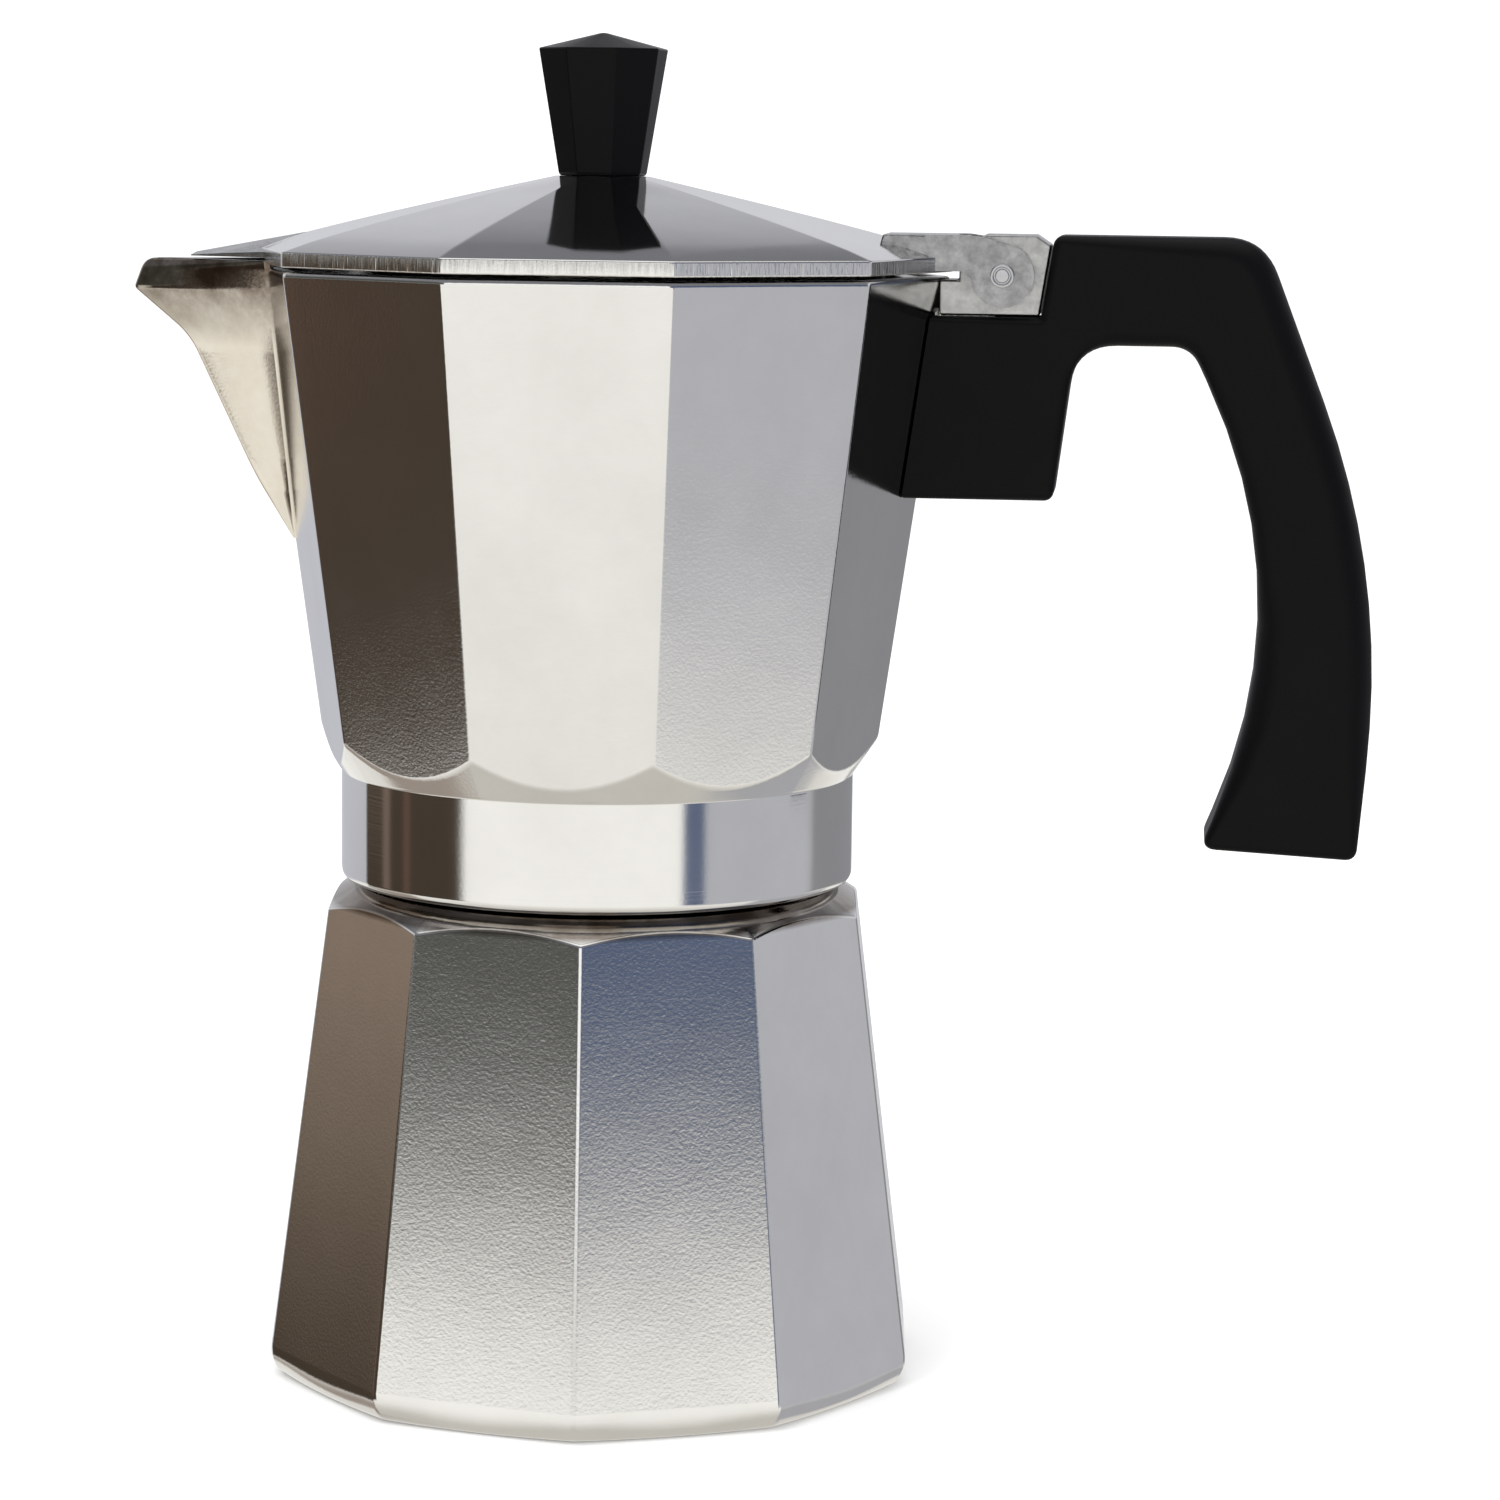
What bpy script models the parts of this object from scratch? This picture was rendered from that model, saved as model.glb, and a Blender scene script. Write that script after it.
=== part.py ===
"""Stovetop moka pot, six-cup size, as separate pieces in one frame.

Frame: origin on the pot's axis in the plane it stands on, +Z up, +X towards
the handle, -X towards the spout.  Sizes are in millimetres; MM turns them
into metres.  The boiler is drawn a little turned against the upper part, as
it ends up when the two are screwed tight.
"""
import math
import bpy
import bmesh
from mathutils import Matrix, Vector

MM = 0.001

# ------------------------------------------------------------ driving sizes
SIDES = 10                 # facets of both castings and of the lid
FACET_POINTS = 4           # points along one facet
GAP = 0.3                  # air between pieces that meet
SEAT_GAP = 0.2             # air between the pieces stacked in the joint

NECK_R = 35.2              # boiler neck, under the thread
NECK_H = 13.1
NECK_WALL = 4.8
THREAD_H = 1.0             # height of a thread round on the neck
COLLAR_THREAD_H = 0.9
PITCH = 4.5                # rise of the collar in one turn
COLLAR_WALL = 4.1
COLLAR_H = 17.5
COLLAR_GAP = 0.6           # between the collar and the boiler's shoulder

BASE_H = 76.4              # faceted part of the boiler
BASE_FLARE = 10.0          # how much wider it is at the foot
BASE_TURN = -13.8          # degrees, boiler corners against the upper ones
BASE_WALL = 3.0
BASE_FLOOR = 4.0
SHOULDER_OUT = 3.1         # boiler corner outside the collar
SHOULDER_H = 3.5           # turned cone above the facets
FOOT_H = 5.0               # rounded foot
FOOT_IN = 3.2

CUP_OUT = 4.1              # upper corner radius outside the collar
CUP_FLARE = 10.5
CUP_H = 74.5
CUP_WALL = 2.4
FLARE_H = 5.9              # cone from the collar to the facets

FUNNEL_DEPTH = 24.4
SHEET = 0.8
GASKET_H = 3.0
STEM_R = 3.6
STEM_WALL = 0.8
COLUMN_R = 6.0
COLUMN_H = 50.0            # above the floor of the cup

LID_EDGE = 2.35
LID_RISE = 12.05
LID_WALL = 2.2
LID_OVER = 0.2
LID_GAP = 0.6
PIN_OUT = 8.3              # hinge pin outside the rim's corner
PIN_UP = 0.3
PIN_R = 1.5
PIN_FIT = 0.06
LUG_HALF = 5.2             # half width of the casting's hinge lug
EAR = 2.1                  # thickness of a lid ear
TAIL_TOP = 6.3             # top of tail and lug above the pin

KNOB_H = 22.3
KNOB_R0, KNOB_R1 = 7.2, 10.5
KNOB_SIDES, KNOB_TURN = 8, 17.9

SPOUT_HALF = 11.4          # half width of the spout at the rim
SPOUT_DROP = 44.0          # how far below the rim it starts
SPOUT_LIP = 1.0            # its edge stands above the rim

HANDLE_HALF = 7.3
BLOCK_H = 35.1             # handle's block, its underside below the rim
RIB_HALF = 3.6             # rib on the casting that the handle is screwed to
RIB_H = 26.4
RIB_END = 4.8              # rib beyond its screw
SCREW_R = 1.5
SCREW_FIT = 0.12
VALVE_TURN = 40.2          # degrees from +X, the middle of a boiler facet
VALVE_Z = 42.2
VALVE_R = 4.5

# ------------------------------------------------------------ sizes that follow
HALF_STEP = math.pi / SIDES
MOUTH_R = NECK_R - NECK_WALL
COLLAR_BORE = NECK_R + THREAD_H + GAP + COLLAR_THREAD_H
COLLAR_R = COLLAR_BORE + COLLAR_WALL
SHOULDER_R = COLLAR_R + SHOULDER_OUT
BASE_R = SHOULDER_R + BASE_FLARE
LAND_R = COLLAR_R - 2.3
LAND_Z = BASE_H + SHOULDER_H
NECK_TOP = LAND_Z + NECK_H
COLLAR_Z = LAND_Z + COLLAR_GAP
COLLAR_TOP = COLLAR_Z + COLLAR_H
CUP_R0 = COLLAR_R + CUP_OUT
CUP_R1 = CUP_R0 + CUP_FLARE
CUP_Z = COLLAR_TOP + FLARE_H
RIM_Z = CUP_Z + CUP_H

FLANGE_Z = NECK_TOP + SEAT_GAP
GASKET_Z = FLANGE_Z + SHEET + SEAT_GAP
PLATE_Z = GASKET_Z + GASKET_H + SEAT_GAP
CEILING_Z = PLATE_Z + SHEET + SEAT_GAP
CUP_FLOOR = CEILING_Z + 5.6
SEAT_R = NECK_R - 0.5      # recess that holds gasket and plate
FUNNEL_R = MOUTH_R - 0.7
SCREEN_Z = FLANGE_Z + SHEET - FUNNEL_DEPTH

LID_Z = RIM_Z + LID_GAP
LID_R = CUP_R1 + LID_OVER
LID_TOP = LID_Z + LID_EDGE + LID_RISE
LID_FLAT_R = KNOB_R0 + 0.3
PIN_X, PIN_Z = CUP_R1 + PIN_OUT, RIM_Z + PIN_UP
LUG_REACH = PIN_OUT - 1.4  # the lug's near corner, round the pin
EAR_IN = LUG_HALF + GAP
EAR_OUT = EAR_IN + EAR
KNOB_Z = LID_TOP + GAP
SCREW_X = CUP_R1 + 2.5
RIB_Z = RIM_Z - RIB_H
BLOCK_Z = RIM_Z - BLOCK_H


# ------------------------------------------------------------ scene and finish
def collection(name):
    group = bpy.data.collections.new(name)
    bpy.context.scene.collection.children.link(group)
    return group


def material(name, colour, metallic, roughness):
    made = bpy.data.materials.new(name)
    made.use_nodes = True
    shader = made.node_tree.nodes["Principled BSDF"]
    shader.inputs["Base Color"].default_value = (*colour, 1)
    shader.inputs["Metallic"].default_value = metallic
    shader.inputs["Roughness"].default_value = roughness
    made.diffuse_color = (*colour, 1)
    return made


for old in list(bpy.data.objects):
    bpy.data.objects.remove(old)
POT = collection("moka_pot")
TOOLS = collection("cutters")
CAST = material("cast_aluminium", (0.80, 0.80, 0.81), 1.0, 0.28)
SHEET_METAL = material("sheet_aluminium", (0.74, 0.74, 0.75), 1.0, 0.35)
PLASTIC = material("handle_plastic", (0.02, 0.02, 0.022), 0.0, 0.45)
BRASS = material("brass", (0.72, 0.54, 0.26), 1.0, 0.3)
STEEL = material("steel", (0.62, 0.62, 0.64), 1.0, 0.3)
RUBBER = material("rubber", (0.78, 0.77, 0.74), 0.0, 0.6)


def add(name, mesh, finish, at=None):
    """Put a mesh in the scene: a piece if it has a finish, else a cutter."""
    ob = bpy.data.objects.new(name, mesh)
    (POT if finish else TOOLS).objects.link(ob)
    if finish:
        mesh.materials.append(finish)
    else:
        ob.hide_render = True
        ob.display_type = "WIRE"
    if at is not None:
        ob.matrix_world = at
    return ob


def boolean(ob, other, operation):
    mod = ob.modifiers.new(other.name, "BOOLEAN")
    mod.operation = operation
    mod.object = other


def spot(x, y, z):
    return Matrix.Translation(Vector((x, y, z)) * MM)


def hang(name, at, pieces):
    """Parent pieces to an empty on their joint's axis, where they are."""
    empty = bpy.data.objects.new(name, None)
    POT.objects.link(empty)
    empty.matrix_world = at
    for ob in pieces:
        ob.parent = empty
        ob.matrix_parent_inverse = at.inverted()
    return empty


# ------------------------------------------------------------ ways to make a shape
def turned(name, profile, finish, at=None, steps=48, ring=False):
    """Turn a (radius, height) profile about Z with a Screw modifier."""
    points = list(profile)
    loop = points if ring else points + [(0, points[-1][1]), (0, points[0][1])]
    area = sum(p[0] * q[1] - q[0] * p[1] for p, q in zip(loop, loop[1:] + loop[:1]))
    if area > 0:                      # the outer side has to run downwards
        points.reverse()
    mesh = bpy.data.meshes.new(name)
    edges = [(i, i + 1) for i in range(len(points) - 1)]
    if ring:
        edges.append((len(points) - 1, 0))
    mesh.from_pydata([(r * MM, 0, z * MM) for r, z in points], edges, [])
    ob = add(name, mesh, finish, at)
    screw = ob.modifiers.new("turn", "SCREW")
    screw.steps = screw.render_steps = steps
    screw.use_merge_vertices = True
    screw.merge_threshold = 0.00001
    return ob


def loft(name, sections, finish, at=None, ring=False):
    """Skin between sections with equally many points; a section of one
    point closes an end, and a ring joins the last section to the first."""
    bm = bmesh.new()
    rows = [[bm.verts.new(Vector(p) * MM) for p in section] for section in sections]
    for low, high in zip(rows, rows[1:] + rows[:1] if ring else rows[1:]):
        n = max(len(low), len(high))
        for i in range(n):
            j = (i + 1) % n
            corners = [low[i % len(low)], low[j % len(low)],
                       high[j % len(high)], high[i % len(high)]]
            bm.faces.new(dict.fromkeys(corners))
    if not ring:
        for row in (rows[0], rows[-1]):
            if len(row) > 2:
                bm.faces.new(row)
    bmesh.ops.recalc_face_normals(bm, faces=bm.faces)
    mesh = bpy.data.meshes.new(name)
    bm.to_mesh(mesh)
    bm.free()
    return add(name, mesh, finish, at)


def rounded(corners):
    """Points of an outline given as (x, z, radius): each corner is an arc."""
    points = []
    for i, (x, z, radius) in enumerate(corners):
        here = Vector((x, z))
        back = (Vector(corners[i - 1][:2]) - here).normalized()
        ahead = (Vector(corners[(i + 1) % len(corners)][:2]) - here).normalized()
        turn = math.pi - back.angle(ahead)
        if radius == 0 or turn < 0.01:
            points.append((x, z))
            continue
        steps = max(2, round(math.degrees(turn) / (8 if radius > 20 else 18)))
        centre = here + (back + ahead).normalized() * radius / math.cos(turn / 2)
        start = here + back * radius * math.tan(turn / 2) - centre
        side = 1 if back.x * ahead.y - back.y * ahead.x < 0 else -1
        for k in range(steps + 1):
            a = side * turn * k / steps
            points.append((centre.x + start.x * math.cos(a) - start.y * math.sin(a),
                           centre.y + start.x * math.sin(a) + start.y * math.cos(a)))
    return points


def slab(name, outline, low, high, finish=None):
    """Flat outline in the XZ plane, filled and given its width along Y."""
    curve = bpy.data.curves.new(name, "CURVE")
    curve.dimensions = "2D"
    curve.fill_mode = "BOTH"
    curve.extrude = (high - low) / 2 * MM
    spline = curve.splines.new("POLY")
    spline.points.add(len(outline) - 1)
    for point, (x, z) in zip(spline.points, outline):
        point.co = (x * MM, z * MM, 0, 1)
    spline.use_cyclic_u = True
    flat = bpy.data.objects.new(name + "_outline", curve)
    TOOLS.objects.link(flat)
    flat.matrix_world = spot(0, (low + high) / 2, 0) @ Matrix.Rotation(math.pi / 2, 4, "X")
    bpy.context.view_layer.update()
    made = flat.evaluated_get(bpy.context.evaluated_depsgraph_get())
    mesh = bpy.data.meshes.new_from_object(made)
    bm = bmesh.new()
    bm.from_mesh(mesh)
    bmesh.ops.remove_doubles(bm, verts=bm.verts, dist=0.000001)
    bmesh.ops.recalc_face_normals(bm, faces=bm.faces)
    bm.to_mesh(mesh)
    bm.free()
    ob = add(name, mesh, finish, flat.matrix_world.copy())
    bpy.data.objects.remove(flat)
    return ob


def rod(name, radius, low, high, at=None, sides=24):
    """Plain cylinder along Z, used as a cutter or joined to a piece."""
    bm = bmesh.new()
    bmesh.ops.create_cone(bm, cap_ends=True, segments=sides, radius1=radius * MM,
                          radius2=radius * MM, depth=(high - low) * MM,
                          matrix=spot(0, 0, (low + high) / 2))
    mesh = bpy.data.meshes.new(name)
    bm.to_mesh(mesh)
    bm.free()
    return add(name, mesh, None, at)


def drill(plate, circles, radius, low, high):
    """Rings of small holes through a plate: circles are (count, radius)."""
    bm = bmesh.new()
    for count, out in circles:
        for i in range(count):
            a = 2 * math.pi * (i + 0.5) / count
            at = spot(out * math.cos(a), out * math.sin(a), (low + high) / 2)
            bmesh.ops.create_cone(bm, cap_ends=True, segments=6, radius1=radius * MM,
                                  radius2=radius * MM, depth=(high - low) * MM, matrix=at)
    mesh = bpy.data.meshes.new(plate.name + "_holes")
    bm.to_mesh(mesh)
    bm.free()
    boolean(plate, add(mesh.name, mesh, None), "DIFFERENCE")


# ------------------------------------------------------------ ten-sided sections
def corner_line(r0, z0, r1, z1):
    return lambda z: r0 + (r1 - r0) * (z - z0) / (z1 - z0)


base_corner = corner_line(BASE_R, 0, SHOULDER_R, BASE_H)
cup_corner = corner_line(CUP_R0, CUP_Z, CUP_R1, RIM_Z)


def facet(a, turn=0.0):
    """Radius of a ten-sided outline of corner radius 1 in direction a."""
    off = (a - math.radians(turn)) % (2 * HALF_STEP) - HALF_STEP
    return math.cos(HALF_STEP) / math.cos(off)


def faceted(corner, turn=0.0):
    """Rule for a ten-sided section of this corner radius."""
    return lambda a: corner * facet(a, turn)


def section(radius, z, turn=0.0):
    """Ring of points at height z; radius is a number or a rule(direction)."""
    count = SIDES * FACET_POINTS
    points = []
    for i in range(count):
        a = math.radians(turn) + 2 * math.pi * i / count
        r = radius(a) if callable(radius) else radius
        points.append((r * math.cos(a), r * math.sin(a), z))
    return points


def threads(root, height, low, turns):
    """Profile of rounded rings that stand for a thread, upwards from low."""
    points = []
    for i in range(turns):
        z = low + i * PITCH
        points += [(root, z), (root + height, z + 0.24 * PITCH),
                   (root + height, z + 0.42 * PITCH), (root, z + 0.66 * PITCH)]
    return points


# ------------------------------------------------------------ boiler
VALVE_TILT = math.atan(BASE_FLARE * math.cos(HALF_STEP) / BASE_H)
VALVE_OUT = base_corner(VALVE_Z) * math.cos(HALF_STEP)
VALVE = (Matrix.Rotation(math.radians(VALVE_TURN), 4, "Z")
         @ spot(VALVE_OUT, 0, VALVE_Z)
         @ Matrix.Rotation(math.pi / 2 - VALVE_TILT, 4, "Y"))


def boiler():
    t = BASE_TURN

    def wall(z, inset=0.0):
        return faceted(base_corner(z) - inset / math.cos(HALF_STEP), t)

    def foot(z):                       # the facets melt into a rounded foot
        share = z / FOOT_H
        inset = FOOT_IN * (1 - math.sqrt(1 - (1 - share) ** 2))
        blunt = base_corner(z) * 0.972
        return lambda a: ((0.5 + 0.5 * share) * base_corner(z) * facet(a, t)
                          + (0.5 - 0.5 * share) * blunt - inset)

    def cone(z):                       # the turned shoulder cuts the facets in arcs
        out = SHOULDER_R - (z - BASE_H) * (SHOULDER_R - LAND_R) / SHOULDER_H
        return lambda a: min(base_corner(z) * facet(a, t), out)

    rings = [[(0, 0, 0)], section(30, 0, t), section(31, 0.5, t),
             section(BASE_R - 10.5, 0.5, t), section(BASE_R - 9.5, 0, t)]
    rings += [section(foot(z), z, t) for z in (0, 0.25, 0.9, 2.0, 3.4, FOOT_H)]
    rings += [section(wall(BASE_H / 2), BASE_H / 2, t)]
    rings += [section(cone(BASE_H + z), BASE_H + z, t) for z in (-0.5, 0, 0.8, 1.6, 2.4)]
    rings += [section(LAND_R + 0.3, LAND_Z - 0.3, t), section(LAND_R, LAND_Z, t)]
    neck = [(NECK_R + 0.5, LAND_Z), (NECK_R, LAND_Z + 0.5)]
    neck += threads(NECK_R, THREAD_H, LAND_Z + 0.22 * NECK_H, 2)
    neck += [(NECK_R, NECK_TOP - 0.6), (NECK_R - 0.6, NECK_TOP), (MOUTH_R + 0.5, NECK_TOP),
             (MOUTH_R, NECK_TOP - 0.5), (MOUTH_R, LAND_Z), (MOUTH_R + 3.6, BASE_H)]
    rings += [section(r, z, t) for r, z in neck]
    rings += [section(wall(z, BASE_WALL), z, t) for z in (BASE_H - 8, 14)]
    rings += [section(BASE_R - 8.0, BASE_FLOOR + 2.2, t), section(BASE_R - 11, BASE_FLOOR, t),
              [(0, 0, BASE_FLOOR)]]
    body = loft("boiler", rings, CAST)
    hole = rod("valve_hole", VALVE_R + 0.1, -BASE_WALL - 6, 3, VALVE)
    boolean(body, hole, "DIFFERENCE")


def safety_valve():
    cap, stem_r, chamber_r = 3.2, 1.1, 3.0
    head, boss, tip = 4.0, 5.6, 9.3           # distances outside the facet
    inner = -BASE_WALL - 5.0                  # end of the shank, inside the water
    turned("valve_washer", [(VALVE_R + 0.3, 0.1), (6.0, 0.1), (6.0, 0.8), (VALVE_R + 0.3, 0.8)],
           RUBBER, VALVE, 24, ring=True)
    body = turned("valve_body", [(0, inner), (VALVE_R, inner), (VALVE_R, 1.0), (cap, 1.0),
                                 (cap, boss - 0.4), (cap - 0.4, boss), (0, boss)],
                  BRASS, VALVE, 24)
    boolean(body, rod("valve_hexagon", 6.2, 0.95, head, VALVE, 6), "UNION")
    bore = [(0, boss + 1), (stem_r + GAP, boss + 1), (stem_r + GAP, head - 0.2),
            (chamber_r, head - 0.2), (chamber_r, inner + 1.1), (1.6, inner + 1.1),
            (1.6, inner - 1), (0, inner - 1)]
    boolean(body, turned("valve_bore", bore, None, VALVE, 24), "DIFFERENCE")
    seat = inner + 1.2
    poppet = turned("valve_poppet", [(0, seat), (2.4, seat), (2.4, seat + 1.1),
                                     (stem_r, seat + 1.1), (stem_r, tip - 0.7),
                                     (stem_r - 0.3, tip - 0.2), (0, tip)], BRASS, VALVE, 16)
    hang("valve_push", VALVE, [poppet])

    coil = bpy.data.curves.new("valve_spring", "CURVE")
    coil.dimensions = "3D"
    coil.bevel_depth = 0.3 * MM
    coil.bevel_resolution = 2
    coil.use_fill_caps = True
    turns, per_turn, mean = 5, 12, 2.1
    low, high = seat + 2.7, head - 0.7
    spline = coil.splines.new("POLY")
    spline.points.add(turns * per_turn)
    for i, point in enumerate(spline.points):
        a = 2 * math.pi * i / per_turn
        z = low + (high - low) * i / (turns * per_turn)
        point.co = (mean * math.cos(a) * MM, mean * math.sin(a) * MM, z * MM, 1)
    add("valve_spring", coil, STEEL, VALVE)


# ------------------------------------------------------------ funnel, gasket, filter
def funnel():
    inner, step = FUNNEL_R - SHEET, 1.5
    cone_z = SCREEN_Z - 8.4                    # where the cone meets the stem
    flange = [(STEM_R + 0.1, cone_z - 1.6), (STEM_R + 2.8, cone_z - 0.6),
              (FUNNEL_R - 0.3, SCREEN_Z - 1.6), (FUNNEL_R, SCREEN_Z - 1.0),
              (FUNNEL_R, FLANGE_Z), (NECK_R - 1.2, FLANGE_Z), (NECK_R - 1.2, FLANGE_Z + SHEET),
              (inner, FLANGE_Z + SHEET), (inner, SCREEN_Z), (inner - step, SCREEN_Z),
              (STEM_R + 2.0, cone_z + 1.2), (STEM_R + 0.1, cone_z)]
    basket = turned("funnel_basket", flange, SHEET_METAL, ring=True)
    bore = STEM_R - STEM_WALL
    end = BASE_FLOOR + 3.0
    stem = turned("funnel_stem", [(STEM_R, end), (STEM_R, cone_z + 0.1),
                                  (STEM_R + 1.1, cone_z + 0.8), (STEM_R + 1.0, cone_z + 1.3),
                                  (bore, cone_z + 0.6), (bore, end)],
                  SHEET_METAL, steps=24, ring=True)
    low = SCREEN_Z + 0.05
    screen = turned("funnel_screen", [(0, low), (inner - 0.2, low), (inner - 0.2, low + 0.7),
                                      (0, low + 0.7)], SHEET_METAL)
    reach = inner / 28.9
    drill(screen, [(6, 6.5 * reach), (12, 13.0 * reach), (18, 19.5 * reach)], 0.9,
          low - 1, low + 2)
    return [basket, stem, screen]


def seal():
    out, inner = SEAT_R - 0.6, FUNNEL_R - 2.5
    z, top = GASKET_Z, GASKET_Z + GASKET_H
    gasket = turned("gasket", [(inner, z), (out - 0.3, z), (out, z + 0.4), (out, top - 0.4),
                               (out - 0.3, top), (inner, top)], RUBBER, ring=True)
    plate = turned("filter_plate", [(0, PLATE_Z), (SEAT_R - 0.5, PLATE_Z),
                                    (SEAT_R - 0.5, PLATE_Z + SHEET), (0, PLATE_Z + SHEET)],
                   SHEET_METAL)
    reach = inner / 27.2
    drill(plate, [(6, 4.5 * reach), (12, 9.5 * reach), (18, 14.5 * reach), (24, 19.5 * reach)],
          0.8, PLATE_Z - 1, PLATE_Z + 2)
    return [gasket, plate]


# ------------------------------------------------------------ upper part
KEEL = rounded([(CUP_R1 + 14.2, RIM_Z + SPOUT_LIP, 0), (CUP_R1 + 18.4, RIM_Z + SPOUT_LIP, 3.5),
                (CUP_R1 + 20.2, RIM_Z - 3.8, 0.8), (CUP_R1 + 11.1, RIM_Z - 11.4, 10),
                (CUP_R1 + 0.4, RIM_Z - 33.9, 60), (CUP_R1 - 5.9, RIM_Z - SPOUT_DROP, 0),
                (CUP_R1 - 20, RIM_Z - SPOUT_DROP, 0)])


def spout(name, wall=0.0):
    """Keel-shaped spout, level section by level section from its foot up.
    With a wall it is the hollow, which also opens the cup's side."""
    line = sorted({(round(z, 4), x) for x, z in KEEL if x > CUP_R1 - 6})
    slope = math.tan(HALF_STEP)
    rows = []
    for z, x in line:
        share = (z - RIM_Z + SPOUT_DROP) / SPOUT_DROP
        half = max(SPOUT_HALF * min(share, 1.0) - wall, 0.3)
        side = cup_corner(z) - (half + wall) * slope
        nose = max(x - 1.7 * wall, side + 0.5)
        blunt = min(1.1, half, (nose - side) * 0.6)
        back = cup_corner(z) - (9.0 if wall else 4.6)
        rows.append([(-back, -half, z), (-side, -half, z), (-(nose - blunt), -blunt * 0.9, z),
                     (-nose, 0, z), (-(nose - blunt), blunt * 0.9, z), (-side, half, z),
                     (-back, half, z)])
    if wall:
        rows = rows[3:]
        rows.append([(x, y, z + 3) for x, y, z in rows[-1]])
    return loft(name, rows, None)


def collector():
    def wall(z, inset=0.0):
        return faceted(cup_corner(z) - inset / math.cos(HALF_STEP))

    def flare(z):                      # the cone cuts the foot of the facets in arcs
        out = COLLAR_R + 0.3 + (z - COLLAR_TOP) * (CUP_OUT - 0.2) / FLARE_H
        return lambda a: min(cup_corner(z) * facet(a), out)

    rings = [section(r, z) for r, z in
             ((COLLAR_BORE + 1.9, COLLAR_Z), (COLLAR_R - 0.9, COLLAR_Z + 0.6),
              (COLLAR_R - 0.2, COLLAR_Z + 1.5), (COLLAR_R, COLLAR_Z + 2.5),
              (COLLAR_R, COLLAR_TOP), (COLLAR_R + 0.15, COLLAR_TOP + 0.8))]
    rings += [section(flare(COLLAR_TOP + z), COLLAR_TOP + z) for z in (2.2, 3.4, 4.6, 5.7, 6.6)]
    rings += [section(wall(z), z) for z in (CUP_Z + 3, RIM_Z - 0.4)]
    rings += [section(wall(RIM_Z, 0.4), RIM_Z), section(wall(RIM_Z, CUP_WALL - 0.3), RIM_Z)]
    rings += [section(wall(z, CUP_WALL), z) for z in (RIM_Z - 0.5, CUP_FLOOR + 6)]
    rings += [section(CUP_R0 - 5.0, CUP_FLOOR + 2), section(CUP_R0 - 7.1, CUP_FLOOR),
              section(COLUMN_R + 0.1, CUP_FLOOR), section(COLUMN_R + 0.1, CEILING_Z + 3.4),
              section(FUNNEL_R - 2.7, CEILING_Z + 3.0), section(FUNNEL_R - 2.1, CEILING_Z),
              section(SEAT_R, CEILING_Z), section(SEAT_R, NECK_TOP + 0.6),
              section(COLLAR_BORE, NECK_TOP + 0.5)]
    thread = threads(COLLAR_BORE, -COLLAR_THREAD_H, COLLAR_Z + 0.24 * NECK_H, 2)
    rings += [section(r, z) for r, z in reversed(thread)]
    rings += [section(COLLAR_BORE, COLLAR_Z + 0.9), section(COLLAR_BORE + 0.8, COLLAR_Z)]
    cup = loft("collector", rings, CAST, ring=True)

    inside = CUP_R1 - 1.6              # a little into the wall, for a sound join
    left = PIN_X - LUG_REACH           # the lug stays inside the lid's swing
    lug = rounded([(inside, PIN_Z - 6.1, 0), (PIN_X + 5.2, PIN_Z - 6.1, 0.6),
                   (PIN_X + 5.6, PIN_Z + TAIL_TOP + 0.1, 0.6),
                   (PIN_X - 2.8, PIN_Z + TAIL_TOP + 0.1, 0)])
    lug += [(PIN_X - LUG_REACH * math.cos(a), PIN_Z + LUG_REACH * math.sin(a))
            for a in map(math.radians, (52, 36, 20, 4))]
    lug += [(left, RIM_Z - 0.5), (inside, RIM_Z - 0.5)]
    rib = [(cup_corner(RIB_Z) - 1.8, RIB_Z), (SCREW_X + RIB_END, RIB_Z),
           (SCREW_X + RIB_END, PIN_Z - 5.1), (inside, PIN_Z - 5.1)]
    boolean(cup, slab("lug", lug, -LUG_HALF, LUG_HALF), "UNION")
    boolean(cup, slab("rib", rib, -RIB_HALF, RIB_HALF), "UNION")
    boolean(cup, spout("spout"), "UNION")
    boolean(cup, spout("spout_hollow", wall=2.0), "DIFFERENCE")
    boolean(cup, rod("lug_bore", PIN_R + PIN_FIT, -9, 9, HINGE), "DIFFERENCE")
    tap = rod("rib_bore", SCREW_R + SCREW_FIT, RIB_Z - 4, RIB_Z + 14, spot(SCREW_X, 0, 0), 16)
    boolean(cup, tap, "DIFFERENCE")
    return cup


def column():
    z = CUP_FLOOR
    top = z + COLUMN_H
    pipe = [(0, top), (2.2, top - 0.4), (4.6, top - 2.6), (4.9, top - 3.6), (4.9, top - 10),
            (COLUMN_R - 0.1, z + 1.8), (COLUMN_R + 2.2, z + 1.0), (COLUMN_R + 2.2, z + 0.1),
            (COLUMN_R, z + 0.1), (COLUMN_R, CEILING_Z + 3.5), (4.4, CEILING_Z + 3.5),
            (4.4, z + 2), (3.6, top - 8), (3.4, top - 4), (0, top - 2.8)]
    pipe = turned("column", pipe, CAST, steps=24)
    slot = slab("column_slots", [(-8, top - 9.5), (8, top - 9.5), (8, top - 5), (-8, top - 5)],
                -1.7, 1.7)
    boolean(pipe, slot, "DIFFERENCE")
    return pipe


HINGE = spot(PIN_X, 0, PIN_Z) @ Matrix.Rotation(math.pi / 2, 4, "X")


def hinge_pin():
    end = EAR_OUT + 0.15
    half = [(PIN_R, end), (PIN_R + 0.4, end), (PIN_R + 0.4, end + 0.45), (0, end + 0.55)]
    return turned("hinge_pin", half[::-1] + [(r, -z) for r, z in half], STEEL, HINGE, 24)


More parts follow.
